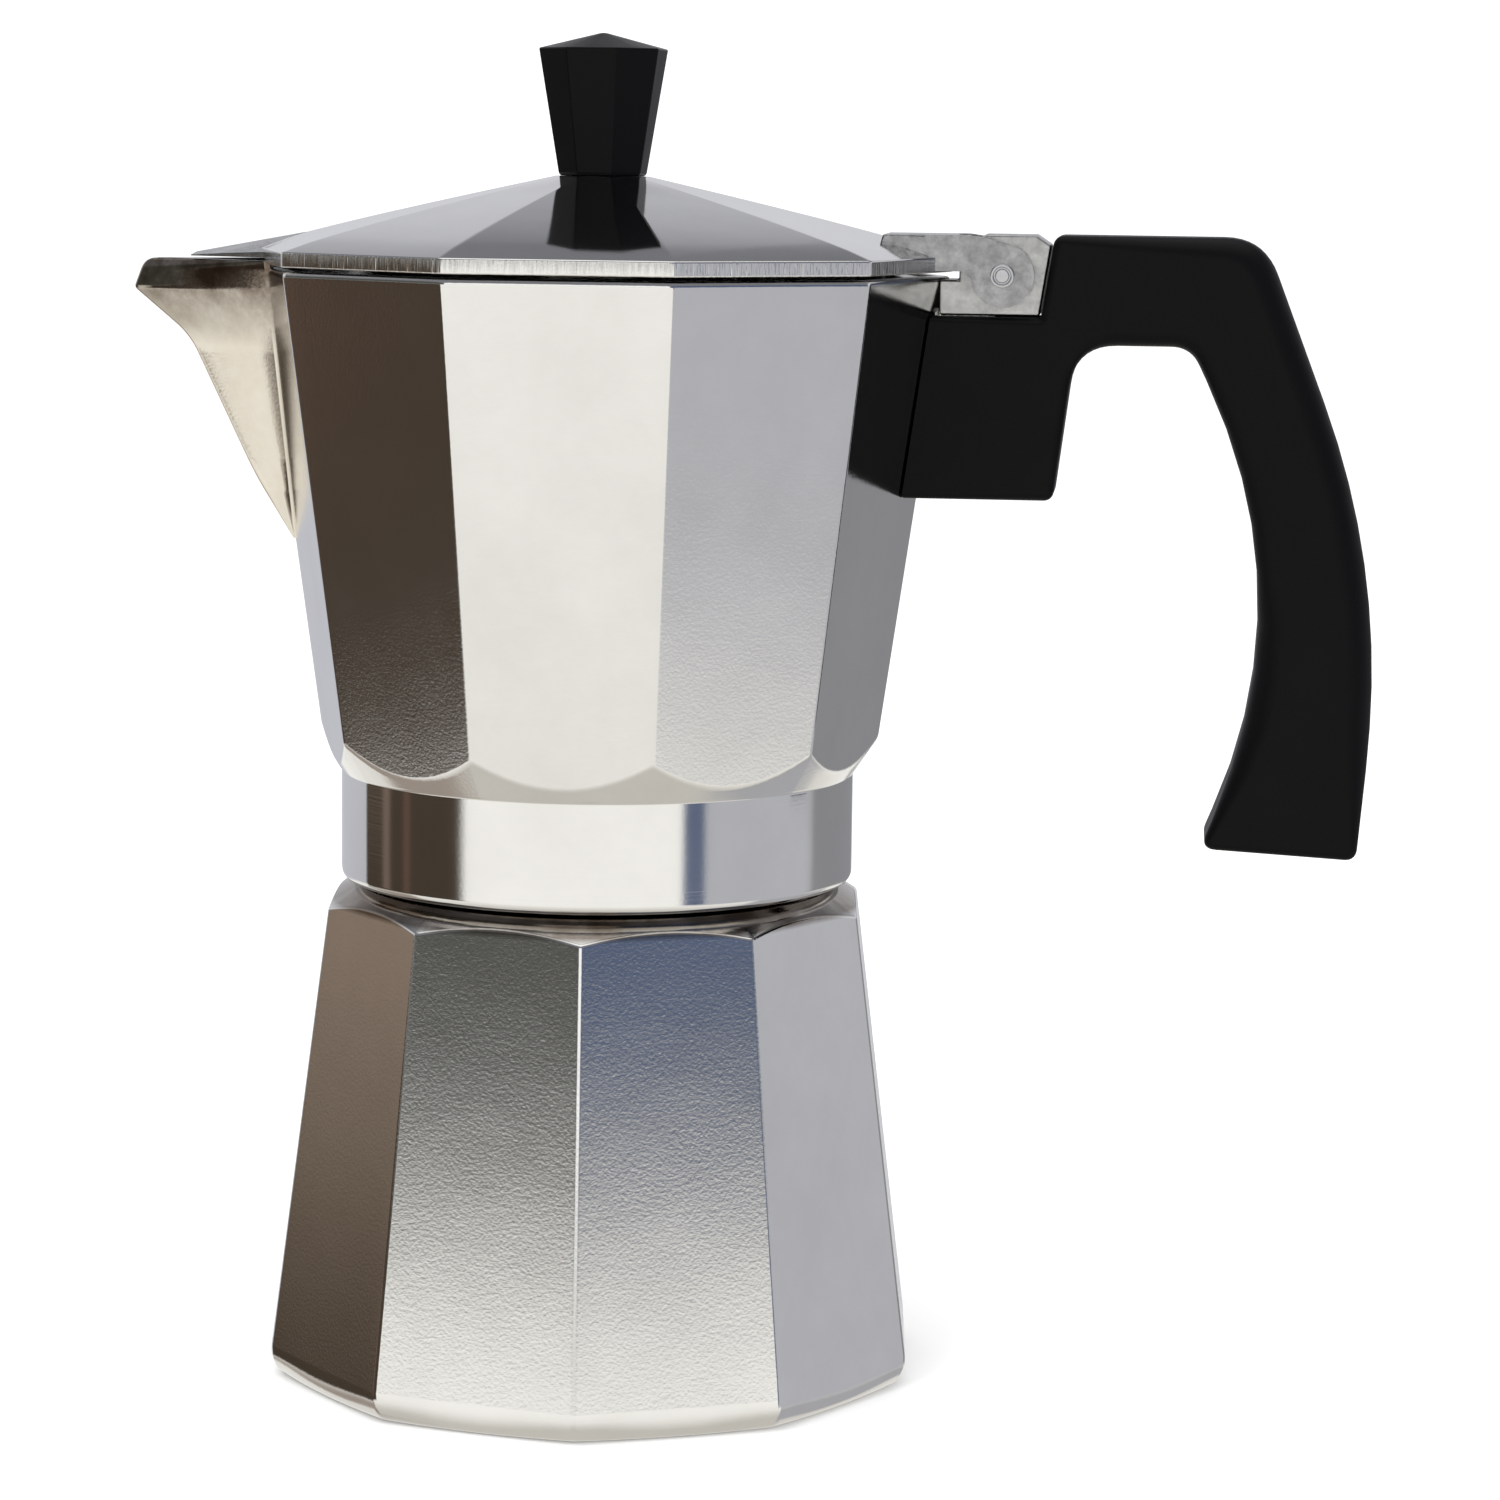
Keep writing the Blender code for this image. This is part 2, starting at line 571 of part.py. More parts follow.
# ------------------------------------------------------------ lid and knob
def lid_height(r):
    """The lid's upper face along a corner line: straight, a little domed."""
    share = max(0.0, (LID_R - r) / (LID_R - LID_FLAT_R))
    return LID_Z + LID_EDGE + LID_RISE * share ** 0.8


def lid():
    def ring(r, z):
        return section(faceted(r), z)

    radii = [LID_R * share for share in (0.163, 0.284, 0.497, 0.718, 0.853, 1.0)]
    rings = [[(0, 0, LID_TOP)], section(LID_FLAT_R, LID_TOP)]
    rings += [ring(r, lid_height(r)) for r in radii]
    rings += [ring(LID_R, LID_Z + 0.2), ring(LID_R - 0.3, LID_Z), ring(LID_R - 3.9, LID_Z),
              ring(LID_R - 4.3, LID_Z + 0.4), ring(LID_R - 5.7, LID_Z + 2.0)]
    rings += [ring(r * 0.98, lid_height(r) - LID_WALL) for r in radii[3:0:-1]]
    rings += [ring(radii[0], LID_TOP - LID_WALL - 0.5), [(0, 0, LID_TOP - LID_WALL - 0.4)]]
    top = loft("lid", rings, CAST)

    high, low, front = PIN_Z + TAIL_TOP, LID_Z + 0.3, LID_R - 11.4
    stop = PIN_X - LUG_REACH - GAP - 0.1       # the tail ends short of the lug
    tail = slab("tail", [(front, high - 2.0), (front + 0.6, high), (stop, high),
                         (stop, low), (front + 5, low)], -EAR_OUT, EAR_OUT)
    boolean(top, tail, "UNION")
    ear = [(stop - 5, high), (PIN_X - 5.8, high), (PIN_X - 2.4, high - 0.45)]
    ear += [(PIN_X + 5.0 * math.sin(math.radians(d)), PIN_Z + 5.0 * math.cos(math.radians(d)))
            for d in range(30, 271, 20)]
    ear += [(PIN_X - 5.0, PIN_Z - 0.5), (PIN_X - 6.4, low), (stop - 5, low)]
    for name, y in (("near_ear", -EAR_OUT), ("far_ear", EAR_IN)):
        boolean(top, slab(name, ear[::-1], y, y + EAR), "UNION")

    # beak over the spout: the lid's ridge runs on down its middle
    under = RIM_Z + SPOUT_LIP + 0.5
    half = SPOUT_HALF - 0.2
    root = LID_R - 8.3
    sections = []
    for out, y, fall in ((0, half + 1.2, 2.2), (4.6, half, 2.2), (18.3, 4.6, 0.35)):
        ridge = lid_height(root) - 0.19 * out
        x = root + out
        sections.append([(-x, -y, under), (-x, -y, ridge - fall), (-x, 0, ridge),
                         (-x, y, ridge - fall), (-x, y, under)])
    boolean(top, loft("beak", sections, None), "UNION")
    notch = slab("spout_notch", [(-LID_R - 14, LID_Z - 1), (-LID_R + 6.7, LID_Z - 1),
                                 (-LID_R + 6.7, under - 0.02), (-LID_R - 14, under - 0.02)],
                 -half - 1.2, half + 1.2)
    boolean(top, notch, "DIFFERENCE")
    boolean(top, rod("ear_bore", PIN_R + PIN_FIT, -9, 9, HINGE), "DIFFERENCE")
    boolean(top, rod("knob_bore", 2.1, LID_TOP - 6, LID_TOP + 2, sides=16), "DIFFERENCE")
    return top


def knob():
    turn = math.radians(KNOB_TURN)

    def ring(r, z, shape=True):
        points = []
        for i in range(2 * KNOB_SIDES):
            a = turn + math.pi * i / KNOB_SIDES
            flat = math.cos(math.pi / KNOB_SIDES) if shape and i % 2 else 1.0
            points.append((r * flat * math.cos(a), r * flat * math.sin(a), z))
        return points

    z, top, bore = KNOB_Z, KNOB_Z + KNOB_H, 1.7
    rings = [[(0, 0, z + 8.6)], ring(bore, z + 8.1, False), ring(bore, z, False),
             ring(KNOB_R0 - 0.3, z), ring(KNOB_R0, z + 0.3), ring(KNOB_R1, top - 2.6),
             ring(KNOB_R1 - 0.2, top - 2.2), [(0, 0, top)]]
    grip = loft("knob", rings, PLASTIC)
    under = LID_TOP - LID_WALL - 0.5 - GAP
    washer = turned("knob_washer", [(1.9, under - 0.6), (4.6, under - 0.6), (4.6, under),
                                    (1.9, under)], STEEL, steps=24, ring=True)
    head = under - 0.7
    screw = turned("knob_screw", [(0, head - 1.9), (2.6, head - 1.8), (3.4, head - 1.1),
                                  (3.4, head), (1.5, head), (1.5, z + 7.4), (0, z + 7.9)],
                   STEEL, steps=16)
    return [grip, washer, screw]


# ------------------------------------------------------------ handle
def handle():
    """One moulding: a block that sits on the casting's corner, and the grip."""
    def at(dx, dz, radius):            # corners are set out from the pin and the rim
        return PIN_X + dx, RIM_Z + dz, radius

    top = PIN_UP + TAIL_TOP + 0.1
    corners = [at(-16.4, -BLOCK_H, 0), at(8.6, -BLOCK_H, 1.8), at(11.7, -10.5, 7.5),
               at(29.8, -10.5, 5.0), at(49.2, -49.9, 86), at(33.2, -90.2, 1.9),
               at(58.0, -91.5, 2.0), at(62.0, -47.1, 128), at(41.0, top, 9.0),
               at(8.1, top, 1.9), at(6.1, -6.2, 0.4), at(-16.4, -6.2, 0)]
    grip = slab("handle", rounded(corners), -HANDLE_HALF, HANDLE_HALF, PLASTIC)
    bevel = grip.modifiers.new("edges", "BEVEL")
    bevel.width = 1.6 * MM
    bevel.segments = 2
    bevel.angle_limit = math.radians(50)
    low, end = RIB_Z - GAP, SCREW_X + RIB_END + GAP
    slot = slab("rib_slot", [(PIN_X - 24, low), (end, low), (end, RIM_Z), (PIN_X - 24, RIM_Z)],
                -RIB_HALF - GAP, RIB_HALF + GAP)
    levels = (BLOCK_Z - 15, RIM_Z + 12)
    shape = loft("casting_shape", [section(faceted(cup_corner(z) + GAP), z) for z in levels], None)
    boolean(grip, shape, "DIFFERENCE")
    boolean(grip, slot, "DIFFERENCE")
    seat, here = BLOCK_Z + 3.3, spot(SCREW_X, 0, 0)
    way = turned("screw_way", [(0, BLOCK_Z - 3), (3.6, BLOCK_Z - 3), (3.6, seat), (2.0, seat),
                               (2.0, RIB_Z + 3), (0, RIB_Z + 3)], None, here, 16)
    boolean(grip, way, "DIFFERENCE")
    low, high = seat - 0.85, seat - 0.1
    washer = turned("handle_washer", [(1.9, low), (3.4, low), (3.4, high), (1.9, high)],
                    STEEL, here, 16, ring=True)
    head = low - 0.05
    screw = turned("handle_screw", [(0, head - 1.8), (2.2, head - 1.7), (3.0, head - 1.1),
                                    (3.0, head), (SCREW_R, head), (SCREW_R, RIB_Z + 10.6),
                                    (0, RIB_Z + 11.4)], STEEL, here, 16)
    return [grip, washer, screw]


# ------------------------------------------------------------ assembly
boiler()
safety_valve()
hang("funnel_lift", spot(0, 0, FLANGE_Z), funnel())
hang("collector_rise", spot(0, 0, GASKET_Z), seal())
hang("collector_turn", spot(0, 0, COLLAR_Z), [collector(), column(), hinge_pin()] + handle())
hang("lid_hinge", spot(PIN_X, 0, PIN_Z), [lid()] + knob())
for piece in POT.objects:
    if piece.type == "MESH":
        piece.data.shade_smooth()
        piece.data.set_sharp_from_angle(angle=math.radians(35))
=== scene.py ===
# %% [markdown]
# # A stovetop moka pot
# The pot is two aluminium castings, a boiler and an upper part, screwed together
# at the waist, with a cast lid, a plastic grip and a plastic knob.  The frame
# holds every piece at its true place.  Here each visible piece is made again
# with the fine shape that light shows: rounded corners, threads, a grain.

# %% Load the frame
import math
import bpy
import bmesh
from mathutils import Matrix, Vector


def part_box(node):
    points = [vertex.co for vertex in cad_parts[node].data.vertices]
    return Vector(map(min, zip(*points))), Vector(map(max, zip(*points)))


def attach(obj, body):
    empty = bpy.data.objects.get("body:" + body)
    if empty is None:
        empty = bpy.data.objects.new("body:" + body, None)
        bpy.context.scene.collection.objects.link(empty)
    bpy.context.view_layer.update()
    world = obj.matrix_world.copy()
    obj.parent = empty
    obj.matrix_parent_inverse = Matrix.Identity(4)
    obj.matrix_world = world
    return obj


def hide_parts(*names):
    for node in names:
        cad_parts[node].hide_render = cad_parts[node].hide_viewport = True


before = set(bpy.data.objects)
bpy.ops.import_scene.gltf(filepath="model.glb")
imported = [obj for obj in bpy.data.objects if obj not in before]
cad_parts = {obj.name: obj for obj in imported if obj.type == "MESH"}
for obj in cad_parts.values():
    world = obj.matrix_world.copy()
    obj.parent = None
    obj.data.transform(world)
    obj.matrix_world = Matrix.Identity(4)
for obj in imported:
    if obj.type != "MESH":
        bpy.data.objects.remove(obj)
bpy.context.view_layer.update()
MM = 0.001

# %% [markdown]
# The frame's pieces give the heights and the hinge.  Everything else follows
# from these few numbers, so that a new piece fits its neighbours at once.

# %% Sizes, in millimetres


def span(node, axis):
    """Lowest and highest place of a piece of the frame along an axis."""
    low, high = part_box(node)
    return low[axis] / MM, high[axis] / MM


NECK_TOP = span("boiler", 2)[1]
COLLAR_Z = span("collector", 2)[0]
LID_TOP = span("lid", 2)[1]
KNOB_TOP = span("knob", 2)[1]
PIN_X = sum(span("hinge_pin", 0)) / 2
PIN_Z = sum(span("hinge_pin", 2)) / 2
PIN_END = span("hinge_pin", 1)[1]
HANDLE_HALF = span("handle", 1)[1]
CEILING_Z = span("filter_plate", 2)[1] + 0.2

SIDES = 10                       # facets round the castings
HALF = math.pi / SIDES
BASE_TURN = math.radians(-13.8)  # the boiler's corners against the upper ones
SHOULDER_Z = COLLAR_Z - 4.1      # top of the boiler's facets
LAND_Z = COLLAR_Z - 0.6
BASE_R, SHOULDER_R, LAND_R = 54.6, 44.6, 39.2
NECK_R, MOUTH_R = 35.2, 30.4
COLLAR_R, COLLAR_BORE = 41.5, 37.4
COLLAR_TOP = COLLAR_Z + 17.5
CUP_R0, CUP_R1 = COLLAR_R + 4.1, PIN_X - 8.3
CUP_Z, RIM_Z = COLLAR_TOP + 5.9, PIN_Z - 0.3
LID_Z = RIM_Z + 0.6
CUP_WALL, CUP_FLOOR = 2.4, CEILING_Z + 5.6
LID_R = CUP_R1 + 0.2
PITCH = 4.5                      # of the screw thread
print(f"rim at {RIM_Z:.1f} mm, hinge pin at x {PIN_X:.1f}, z {PIN_Z:.1f}")

# %% [markdown]
# ## A ten-sided casting
# A real casting has no sharp corner: the mould's corners are eased, and the
# metal is tumbled afterwards.  A bevel would do on a prism, but here facets run
# into cones and round feet.  So each ring of points is set by a rule, the
# distance from the axis in a given direction, with the corner already rounded.

# %% The rounded ten-sided outline
EASE = 0.032                     # corner radius, as a share of the pot's radius
CORE = 1 - EASE / math.cos(HALF)
TOUCH = math.atan2(EASE * math.sin(HALF), CORE + EASE * math.cos(HALF))


def facet(a):
    """Distance from the axis in direction a, for a corner at distance 1."""
    off = abs((a + HALF) % (2 * HALF) - HALF)
    if off < TOUCH:
        return CORE * math.cos(off) + math.sqrt(EASE ** 2 - (CORE * math.sin(off)) ** 2)
    return math.cos(HALF) / math.cos(HALF - off)


def directions(turn=0.0, flat=11):
    """Directions round the axis, close together in the corners."""
    out = []
    for side in range(SIDES):
        corner = turn + 2 * HALF * side
        out += [corner + TOUCH * share for share in (-1, -0.5, 0, 0.5, 1)]
        room = 2 * HALF - 2 * TOUCH
        out += [corner + TOUCH + room * k / flat for k in range(1, flat)]
    return out


print(len(directions()), "points round a ring")

# %% [markdown]
# A profile is a list of corners with a radius for each.  Rounding them with a
# short curve gives the fillets of the mould.  The profile is worked out anew in
# every direction, which lets the crease between a facet and a cone run in the
# scallops that turning a ten-sided casting leaves.

# %% Profiles and skins


def soften(corners, steps=4, most=0.45):
    """Points along (r, z, radius) corners, each corner rounded."""
    points = [Vector(corners[0][:2])]
    for before, (r, z, radius), after in zip(corners, corners[1:], corners[2:]):
        here = Vector((r, z))
        if radius == 0:
            points.append(here)
            continue
        back, ahead = Vector(before[:2]) - here, Vector(after[:2]) - here
        turn = math.pi - back.angle(ahead)
        reach = min(radius * math.tan(turn / 2), most * min(back.length, ahead.length))
        start, end = here + back.normalized() * reach, here + ahead.normalized() * reach
        for k in range(steps + 1):
            s = k / steps
            points.append((1 - s) ** 2 * start + 2 * s * (1 - s) * here + s * s * end)
    points.append(Vector(corners[-1][:2]))
    return points


def meet(r1, slope1, r2, slope2):
    """Height above the common start where two straight walls cross."""
    return (r2 - r1) / (slope1 - slope2)


def mesh_from(name, rows, closed):
    """Skin over rows of points; a closed body joins its last row to the first."""
    bm = bmesh.new()
    grid = [[bm.verts.new(Vector(p) * MM) for p in row] for row in rows]
    for low, high in zip(grid, grid[1:] + grid[:1] if closed else grid[1:]):
        for i in range(len(low)):
            j = (i + 1) % len(low)
            bm.faces.new((low[i], low[j], high[j], high[i]))
    if not closed:
        bm.faces.new(grid[0])
        bm.faces.new(grid[-1])
    bmesh.ops.remove_doubles(bm, verts=bm.verts, dist=0.002 * MM)
    bmesh.ops.recalc_face_normals(bm, faces=bm.faces)
    mesh = bpy.data.meshes.new(name)
    bm.to_mesh(mesh)
    bm.free()
    return mesh


def skin(name, profile, turn=0.0, closed=False, count=None):
    """Body whose profile, in direction a, is profile(a): a list of (r, z)."""
    around = directions(turn)
    if count:
        around = [2 * math.pi * i / count for i in range(count)]
    columns = [(a, profile(a)) for a in around]
    rows = [[(p[k][0] * math.cos(a), p[k][0] * math.sin(a), p[k][1]) for a, p in columns]
            for k in range(len(columns[0][1]))]
    return mesh_from(name, rows, closed)


def place(name, mesh, finish=None, cutter=False):
    """An object for the mesh, with its finish; a cutter isn't rendered."""
    ob = bpy.data.objects.new(name, mesh)
    if finish:
        mesh.materials.append(finish)
    bpy.context.scene.collection.objects.link(ob)
    if cutter:
        ob.hide_render = True
        ob.display_type = "WIRE"
    return ob


def join(ob, other, operation="UNION"):
    """Join another body to this one, or cut it away, keeping both finishes."""
    mod = ob.modifiers.new(other.name, "BOOLEAN")
    mod.operation, mod.object, mod.material_mode = operation, other, "TRANSFER"


def settle(ob, body, node, angle=38):
    """Bake the cuts, shade by facet and put the piece on its body."""
    made = ob.evaluated_get(bpy.context.evaluated_depsgraph_get())
    mesh = bpy.data.meshes.new_from_object(made)
    for mod in list(ob.modifiers):
        if mod.type == "BOOLEAN" and mod.object.name in bpy.data.objects:
            bpy.data.objects.remove(mod.object)
        ob.modifiers.remove(mod)
    ob.data = mesh
    mesh.shade_smooth()
    mesh.set_sharp_from_angle(angle=math.radians(angle))
    even = ob.modifiers.new("even", "WEIGHTED_NORMAL")
    even.keep_sharp, even.weight = True, 60
    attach(ob, body)
    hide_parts(node)
    print(f"{ob.name}: {len(mesh.polygons)} faces")
    return ob


# %% [markdown]
# ## Finishes
# One helper adds a node with its settings and links.  Colours are written as
# screen hex values, and one function turns them to the linear values that
# light is reckoned in.

# %% Helpers for materials


def linear(code):
    """Linear red, green, blue and alpha of a hex colour."""
    parts = [int(code[i:i + 2], 16) / 255 for i in (1, 3, 5)]
    return (*[c / 12.92 if c < 0.04045 else ((c + 0.055) / 1.055) ** 2.4 for c in parts], 1.0)


def add(tree, kind, values=None, links=None, **settings):
    """Add a node: settings are its options, values its numbers, links its inputs."""
    made = tree.nodes.new("ShaderNode" + kind)
    for key, value in settings.items():
        setattr(made, key, value)
    for key, value in (values or {}).items():
        made.inputs[key].default_value = value
    for key, source in (links or {}).items():
        tree.links.new(source, made.inputs[key])
    return made


def start(name):
    """A new material: itself, its node tree, its shader and object coordinates."""
    made = bpy.data.materials.new(name)
    made.use_nodes = True
    tree = made.node_tree
    shader = tree.nodes["Principled BSDF"]
    where = add(tree, "TexCoord").outputs["Object"]
    return made, tree, shader, where


def per(size):
    """Noise scale for a pattern of this size in millimetres."""
    return 1 / (size * MM)


# %% [markdown]
# ### Die-cast aluminium
# The castings are an aluminium alloy, poured into steel moulds and tumbled.
# Tumbling leaves a satin skin with a fine pitted grain: a mirror, but a broken
# one, that shows the room as soft bands with sparkle at their borders.  The
# grain is 0.4 to 0.9 mm wide.  A bump is enough for it, because it is far
# too shallow to change the outline.  Machined places, the collar and the cone
# above the boiler's facets, carry fine lathe lines in place of the grain.

# %% Aluminium


def aluminium(name, grain, depth, roughness, colours=("#f5f4f2", "#dfdedb"), mottle=22,
              turned=(), streaks=(), dark_band=None):
    """Cast aluminium.  grain and depth are the pits' width and depth in mm, and
    mottle is the size of the cloudy places between its two colours;
    turned and streaks are (low, high) heights with lathe lines or file marks;
    dark_band is where a darker colour sets in, where it is full, and its colour."""
    made, tree, shader, where = start(name)
    shader.inputs["Metallic"].default_value = 1.0
    tint = add(tree, "TexNoise", {"Scale": per(mottle), "Detail": 6.0, "Roughness": 0.65},
               {"Vector": where})
    mix = add(tree, "Mix", {"A": linear(colours[0]), "B": linear(colours[1])},
              {"Factor": tint.outputs["Fac"]}, data_type="RGBA")
    height = add(tree, "SeparateXYZ", links={0: where}).outputs["Z"]
    # a darker colour by height, broken by the mottle: on the spout lip it is painted reflection, on the
    # boiler a plain darker tone
    if dark_band:
        low, high, hue = dark_band
        rise = add(tree, "MapRange", {"From Min": low * MM, "From Max": high * MM},
                   {"Value": height})
        broken = add(tree, "Math", links={0: rise.outputs[0], 1: tint.outputs["Fac"]},
                     operation="MULTIPLY")
        amount = add(tree, "Math", {1: 1.75}, {0: broken.outputs[0]}, operation="MULTIPLY",
                     use_clamp=True)
        mix = add(tree, "Mix", {"B": linear(hue)},
                  {"Factor": amount.outputs[0], "A": mix.outputs["Result"]}, data_type="RGBA")
    tree.links.new(mix.outputs["Result"], shader.inputs["Base Color"])
    cloud = add(tree, "TexNoise", {"Scale": per(9), "Detail": 3.0}, {"Vector": where})
    rough = add(tree, "MapRange", {"To Min": roughness * 0.82, "To Max": roughness * 1.2},
                {"Value": cloud.outputs["Fac"]})
    tree.links.new(rough.outputs["Result"], shader.inputs["Roughness"])
    pits = add(tree, "TexNoise", {"Scale": per(grain), "Detail": 3.0, "Roughness": 0.62},
               {"Vector": where})
    wave = add(tree, "TexNoise", {"Scale": per(11), "Detail": 1.0}, {"Vector": where})
    plain = 1.0
    for low, high in turned:
        plain = band(tree, height, low, high, plain)
    bump = add(tree, "Bump", {"Strength": 1.0, "Distance": depth * MM},
               {"Height": pits.outputs["Fac"]})
    if turned:
        deep = add(tree, "MapRange", {"To Min": depth * 0.3 * MM, "To Max": depth * MM},
                   {"Value": plain})
        tree.links.new(deep.outputs["Result"], bump.inputs["Distance"])
    last = add(tree, "Bump", {"Distance": 0.014 * MM},
               {"Height": wave.outputs["Fac"], "Normal": bump.outputs["Normal"]})
    if turned:
        line = add(tree, "VectorMath", {1: (3.0, 3.0, per(0.42))}, {0: where},
                   operation="MULTIPLY")
        lines = add(tree, "TexNoise", {"Scale": 1.0, "Detail": 2.0}, {"Vector": line.outputs[0]})
        cut = add(tree, "MapRange", {"To Min": 0.012 * MM, "To Max": 0.0}, {"Value": plain})
        last = add(tree, "Bump", {}, {"Height": lines.outputs["Fac"],
                                      "Distance": cut.outputs["Result"],
                                      "Normal": last.outputs["Normal"]})
    for low, high in streaks:
        squeeze = add(tree, "VectorMath", {1: (per(0.5), per(0.5), per(14))}, {0: where},
                      operation="MULTIPLY")
        marks = add(tree, "TexNoise", {"Scale": 1.0, "Detail": 3.0},
                    {"Vector": squeeze.outputs[0]})
        inside = band(tree, height, low, high, 1.0)
        cut = add(tree, "MapRange", {"To Min": 0.16 * MM, "To Max": 0.0}, {"Value": inside})
        last = add(tree, "Bump", {}, {"Height": marks.outputs["Fac"],
                                      "Distance": cut.outputs["Result"],
                                      "Normal": last.outputs["Normal"]})
    tree.links.new(last.outputs["Normal"], shader.inputs["Normal"])
    return made


def band(tree, height, low, high, outside):
    """A value that is 0 between two heights in mm and 1 elsewhere."""
    up = add(tree, "MapRange", {"From Min": (low - 0.2) * MM, "From Max": (low + 0.2) * MM,
                                "To Min": 1.0, "To Max": 0.0}, {"Value": height})
    down = add(tree, "MapRange", {"From Min": (high - 0.2) * MM, "From Max": (high + 0.2) * MM},
               {"Value": height})
    both = add(tree, "Math", links={0: up.outputs[0], 1: down.outputs[0]}, operation="MAXIMUM")
    if outside == 1.0:
        return both.outputs[0]
    return add(tree, "Math", links={0: both.outputs[0], 1: outside},
               operation="MINIMUM").outputs[0]


# the boiler darkens to a brownish grey above its shoulder, broken by the mottle
TUMBLED = aluminium("tumbled_cast_aluminium", 0.52, 0.013, 0.08,
                    turned=[(SHOULDER_Z + 0.6, NECK_TOP + 1)],
                    dark_band=(SHOULDER_Z + 0.2, SHOULDER_Z + 1.0, "#867b71"))
SATIN = aluminium("satin_cast_aluminium", 0.5, 0.013, 0.1,
                  turned=[(COLLAR_Z - 1, COLLAR_TOP + 0.6)])
POLISHED = aluminium("polished_cast_aluminium", 0.4, 0.003, 0.07,
                     streaks=[(LID_Z - 1, LID_Z + 2.2)])
# painted reflection: the spout darkens towards its lip, from 13 mm below the rim to full at 2 mm below
# it, broken by the mottle
AS_CAST_PAINTED_LIP = aluminium("as_cast_aluminium_painted_lip_reflection", 0.6, 0.014, 0.14, ("#fbf7ee", "#eadfce"), 6,
                    dark_band=(RIM_Z - 13, RIM_Z - 2, "#74665a"))
ROUGH_CAST = aluminium("rough_cast_aluminium", 0.9, 0.06, 0.24, ("#dededd", "#6e6e6e"), 3)
EAR_CAST = aluminium("worn_rough_cast_aluminium", 0.8, 0.08, 0.2, ("#d2d2d3", "#303134"), 2.4)

# %% [markdown]
# ### Black phenolic plastic
# The grip and the knob are moulded from a black heat-proof phenolic.  Its mould
# is lightly blasted, so the plastic is satin, with a fine speckle.  It is a
# dielectric of IOR about 1.6, dark enough that only its sheen shows its form.

# %% Phenolic plastic


def phenolic(name, colour, roughness, speck, depth):
    """Black moulded plastic; speck and depth are the blasted dots in mm."""
    made, tree, shader, where = start(name)
    shader.inputs["IOR"].default_value = 1.6
    shader.inputs["Specular IOR Level"].default_value = 0.07
    tint = add(tree, "TexNoise", {"Scale": per(20), "Detail": 3.0}, {"Vector": where})
    mix = add(tree, "Mix", {"A": linear(colour), "B": linear("#09090b")},
              {"Factor": tint.outputs["Fac"]}, data_type="RGBA")
    tree.links.new(mix.outputs["Result"], shader.inputs["Base Color"])
    cloud = add(tree, "TexNoise", {"Scale": per(6), "Detail": 4.0}, {"Vector": where})
    rough = add(tree, "MapRange", {"To Min": roughness - 0.05, "To Max": roughness + 0.07},
                {"Value": cloud.outputs["Fac"]})
    tree.links.new(rough.outputs["Result"], shader.inputs["Roughness"])
    specks = add(tree, "TexNoise", {"Scale": per(speck), "Detail": 2.0}, {"Vector": where})
    bump = add(tree, "Bump", {"Distance": depth * MM}, {"Height": specks.outputs["Fac"]})
    tree.links.new(bump.outputs["Normal"], shader.inputs["Normal"])
    return made


GRIP_BLACK = phenolic("black_phenolic_grip", "#070708", 0.42, 0.32, 0.02)
KNOB_BLACK = phenolic("black_phenolic_knob", "#060607", 0.3, 0.4, 0.008)

# %% [markdown]
# ### Sheet, brass, steel and rubber
# The funnel and filter plate are spun from aluminium sheet, the valve is turned
# brass, the screws and the pin are steel, and the gasket is white silicone.
# They are small or inside, but seen when the pot is open, so each has the marks
# of its making: turning rings, wire lines or a moulded bloom.

# %% Small pieces


def turned_metal(name, colour, other, roughness, ring, depth):
    """Small metal pieces between two colours, with tool marks in mm."""
    made, tree, shader, where = start(name)
    shader.inputs["Metallic"].default_value = 1.0
    tint = add(tree, "TexNoise", {"Scale": per(5), "Detail": 4.0}, {"Vector": where})
    mix = add(tree, "Mix", {"A": linear(colour), "B": linear(other)},
              {"Factor": tint.outputs["Fac"]}, data_type="RGBA")
    tree.links.new(mix.outputs["Result"], shader.inputs["Base Color"])
    rough = add(tree, "MapRange", {"To Min": roughness * 0.8, "To Max": roughness * 1.25},
                {"Value": tint.outputs["Fac"]})
    tree.links.new(rough.outputs["Result"], shader.inputs["Roughness"])
    rings = add(tree, "TexNoise", {"Scale": per(ring), "Detail": 2.0}, {"Vector": where})
    bump = add(tree, "Bump", {"Distance": depth * MM}, {"Height": rings.outputs["Fac"]})
    tree.links.new(bump.outputs["Normal"], shader.inputs["Normal"])
    return made


SPUN = turned_metal("spun_aluminium_sheet", "#dcdcdc", "#c9c9ca", 0.28, 0.5, 0.01)
BRASS = turned_metal("turned_brass", "#d9b56c", "#c79f56", 0.25, 0.3, 0.008)
STEEL = turned_metal("zinc_plated_steel", "#cfd0d2", "#b9babd", 0.22, 0.3, 0.006)


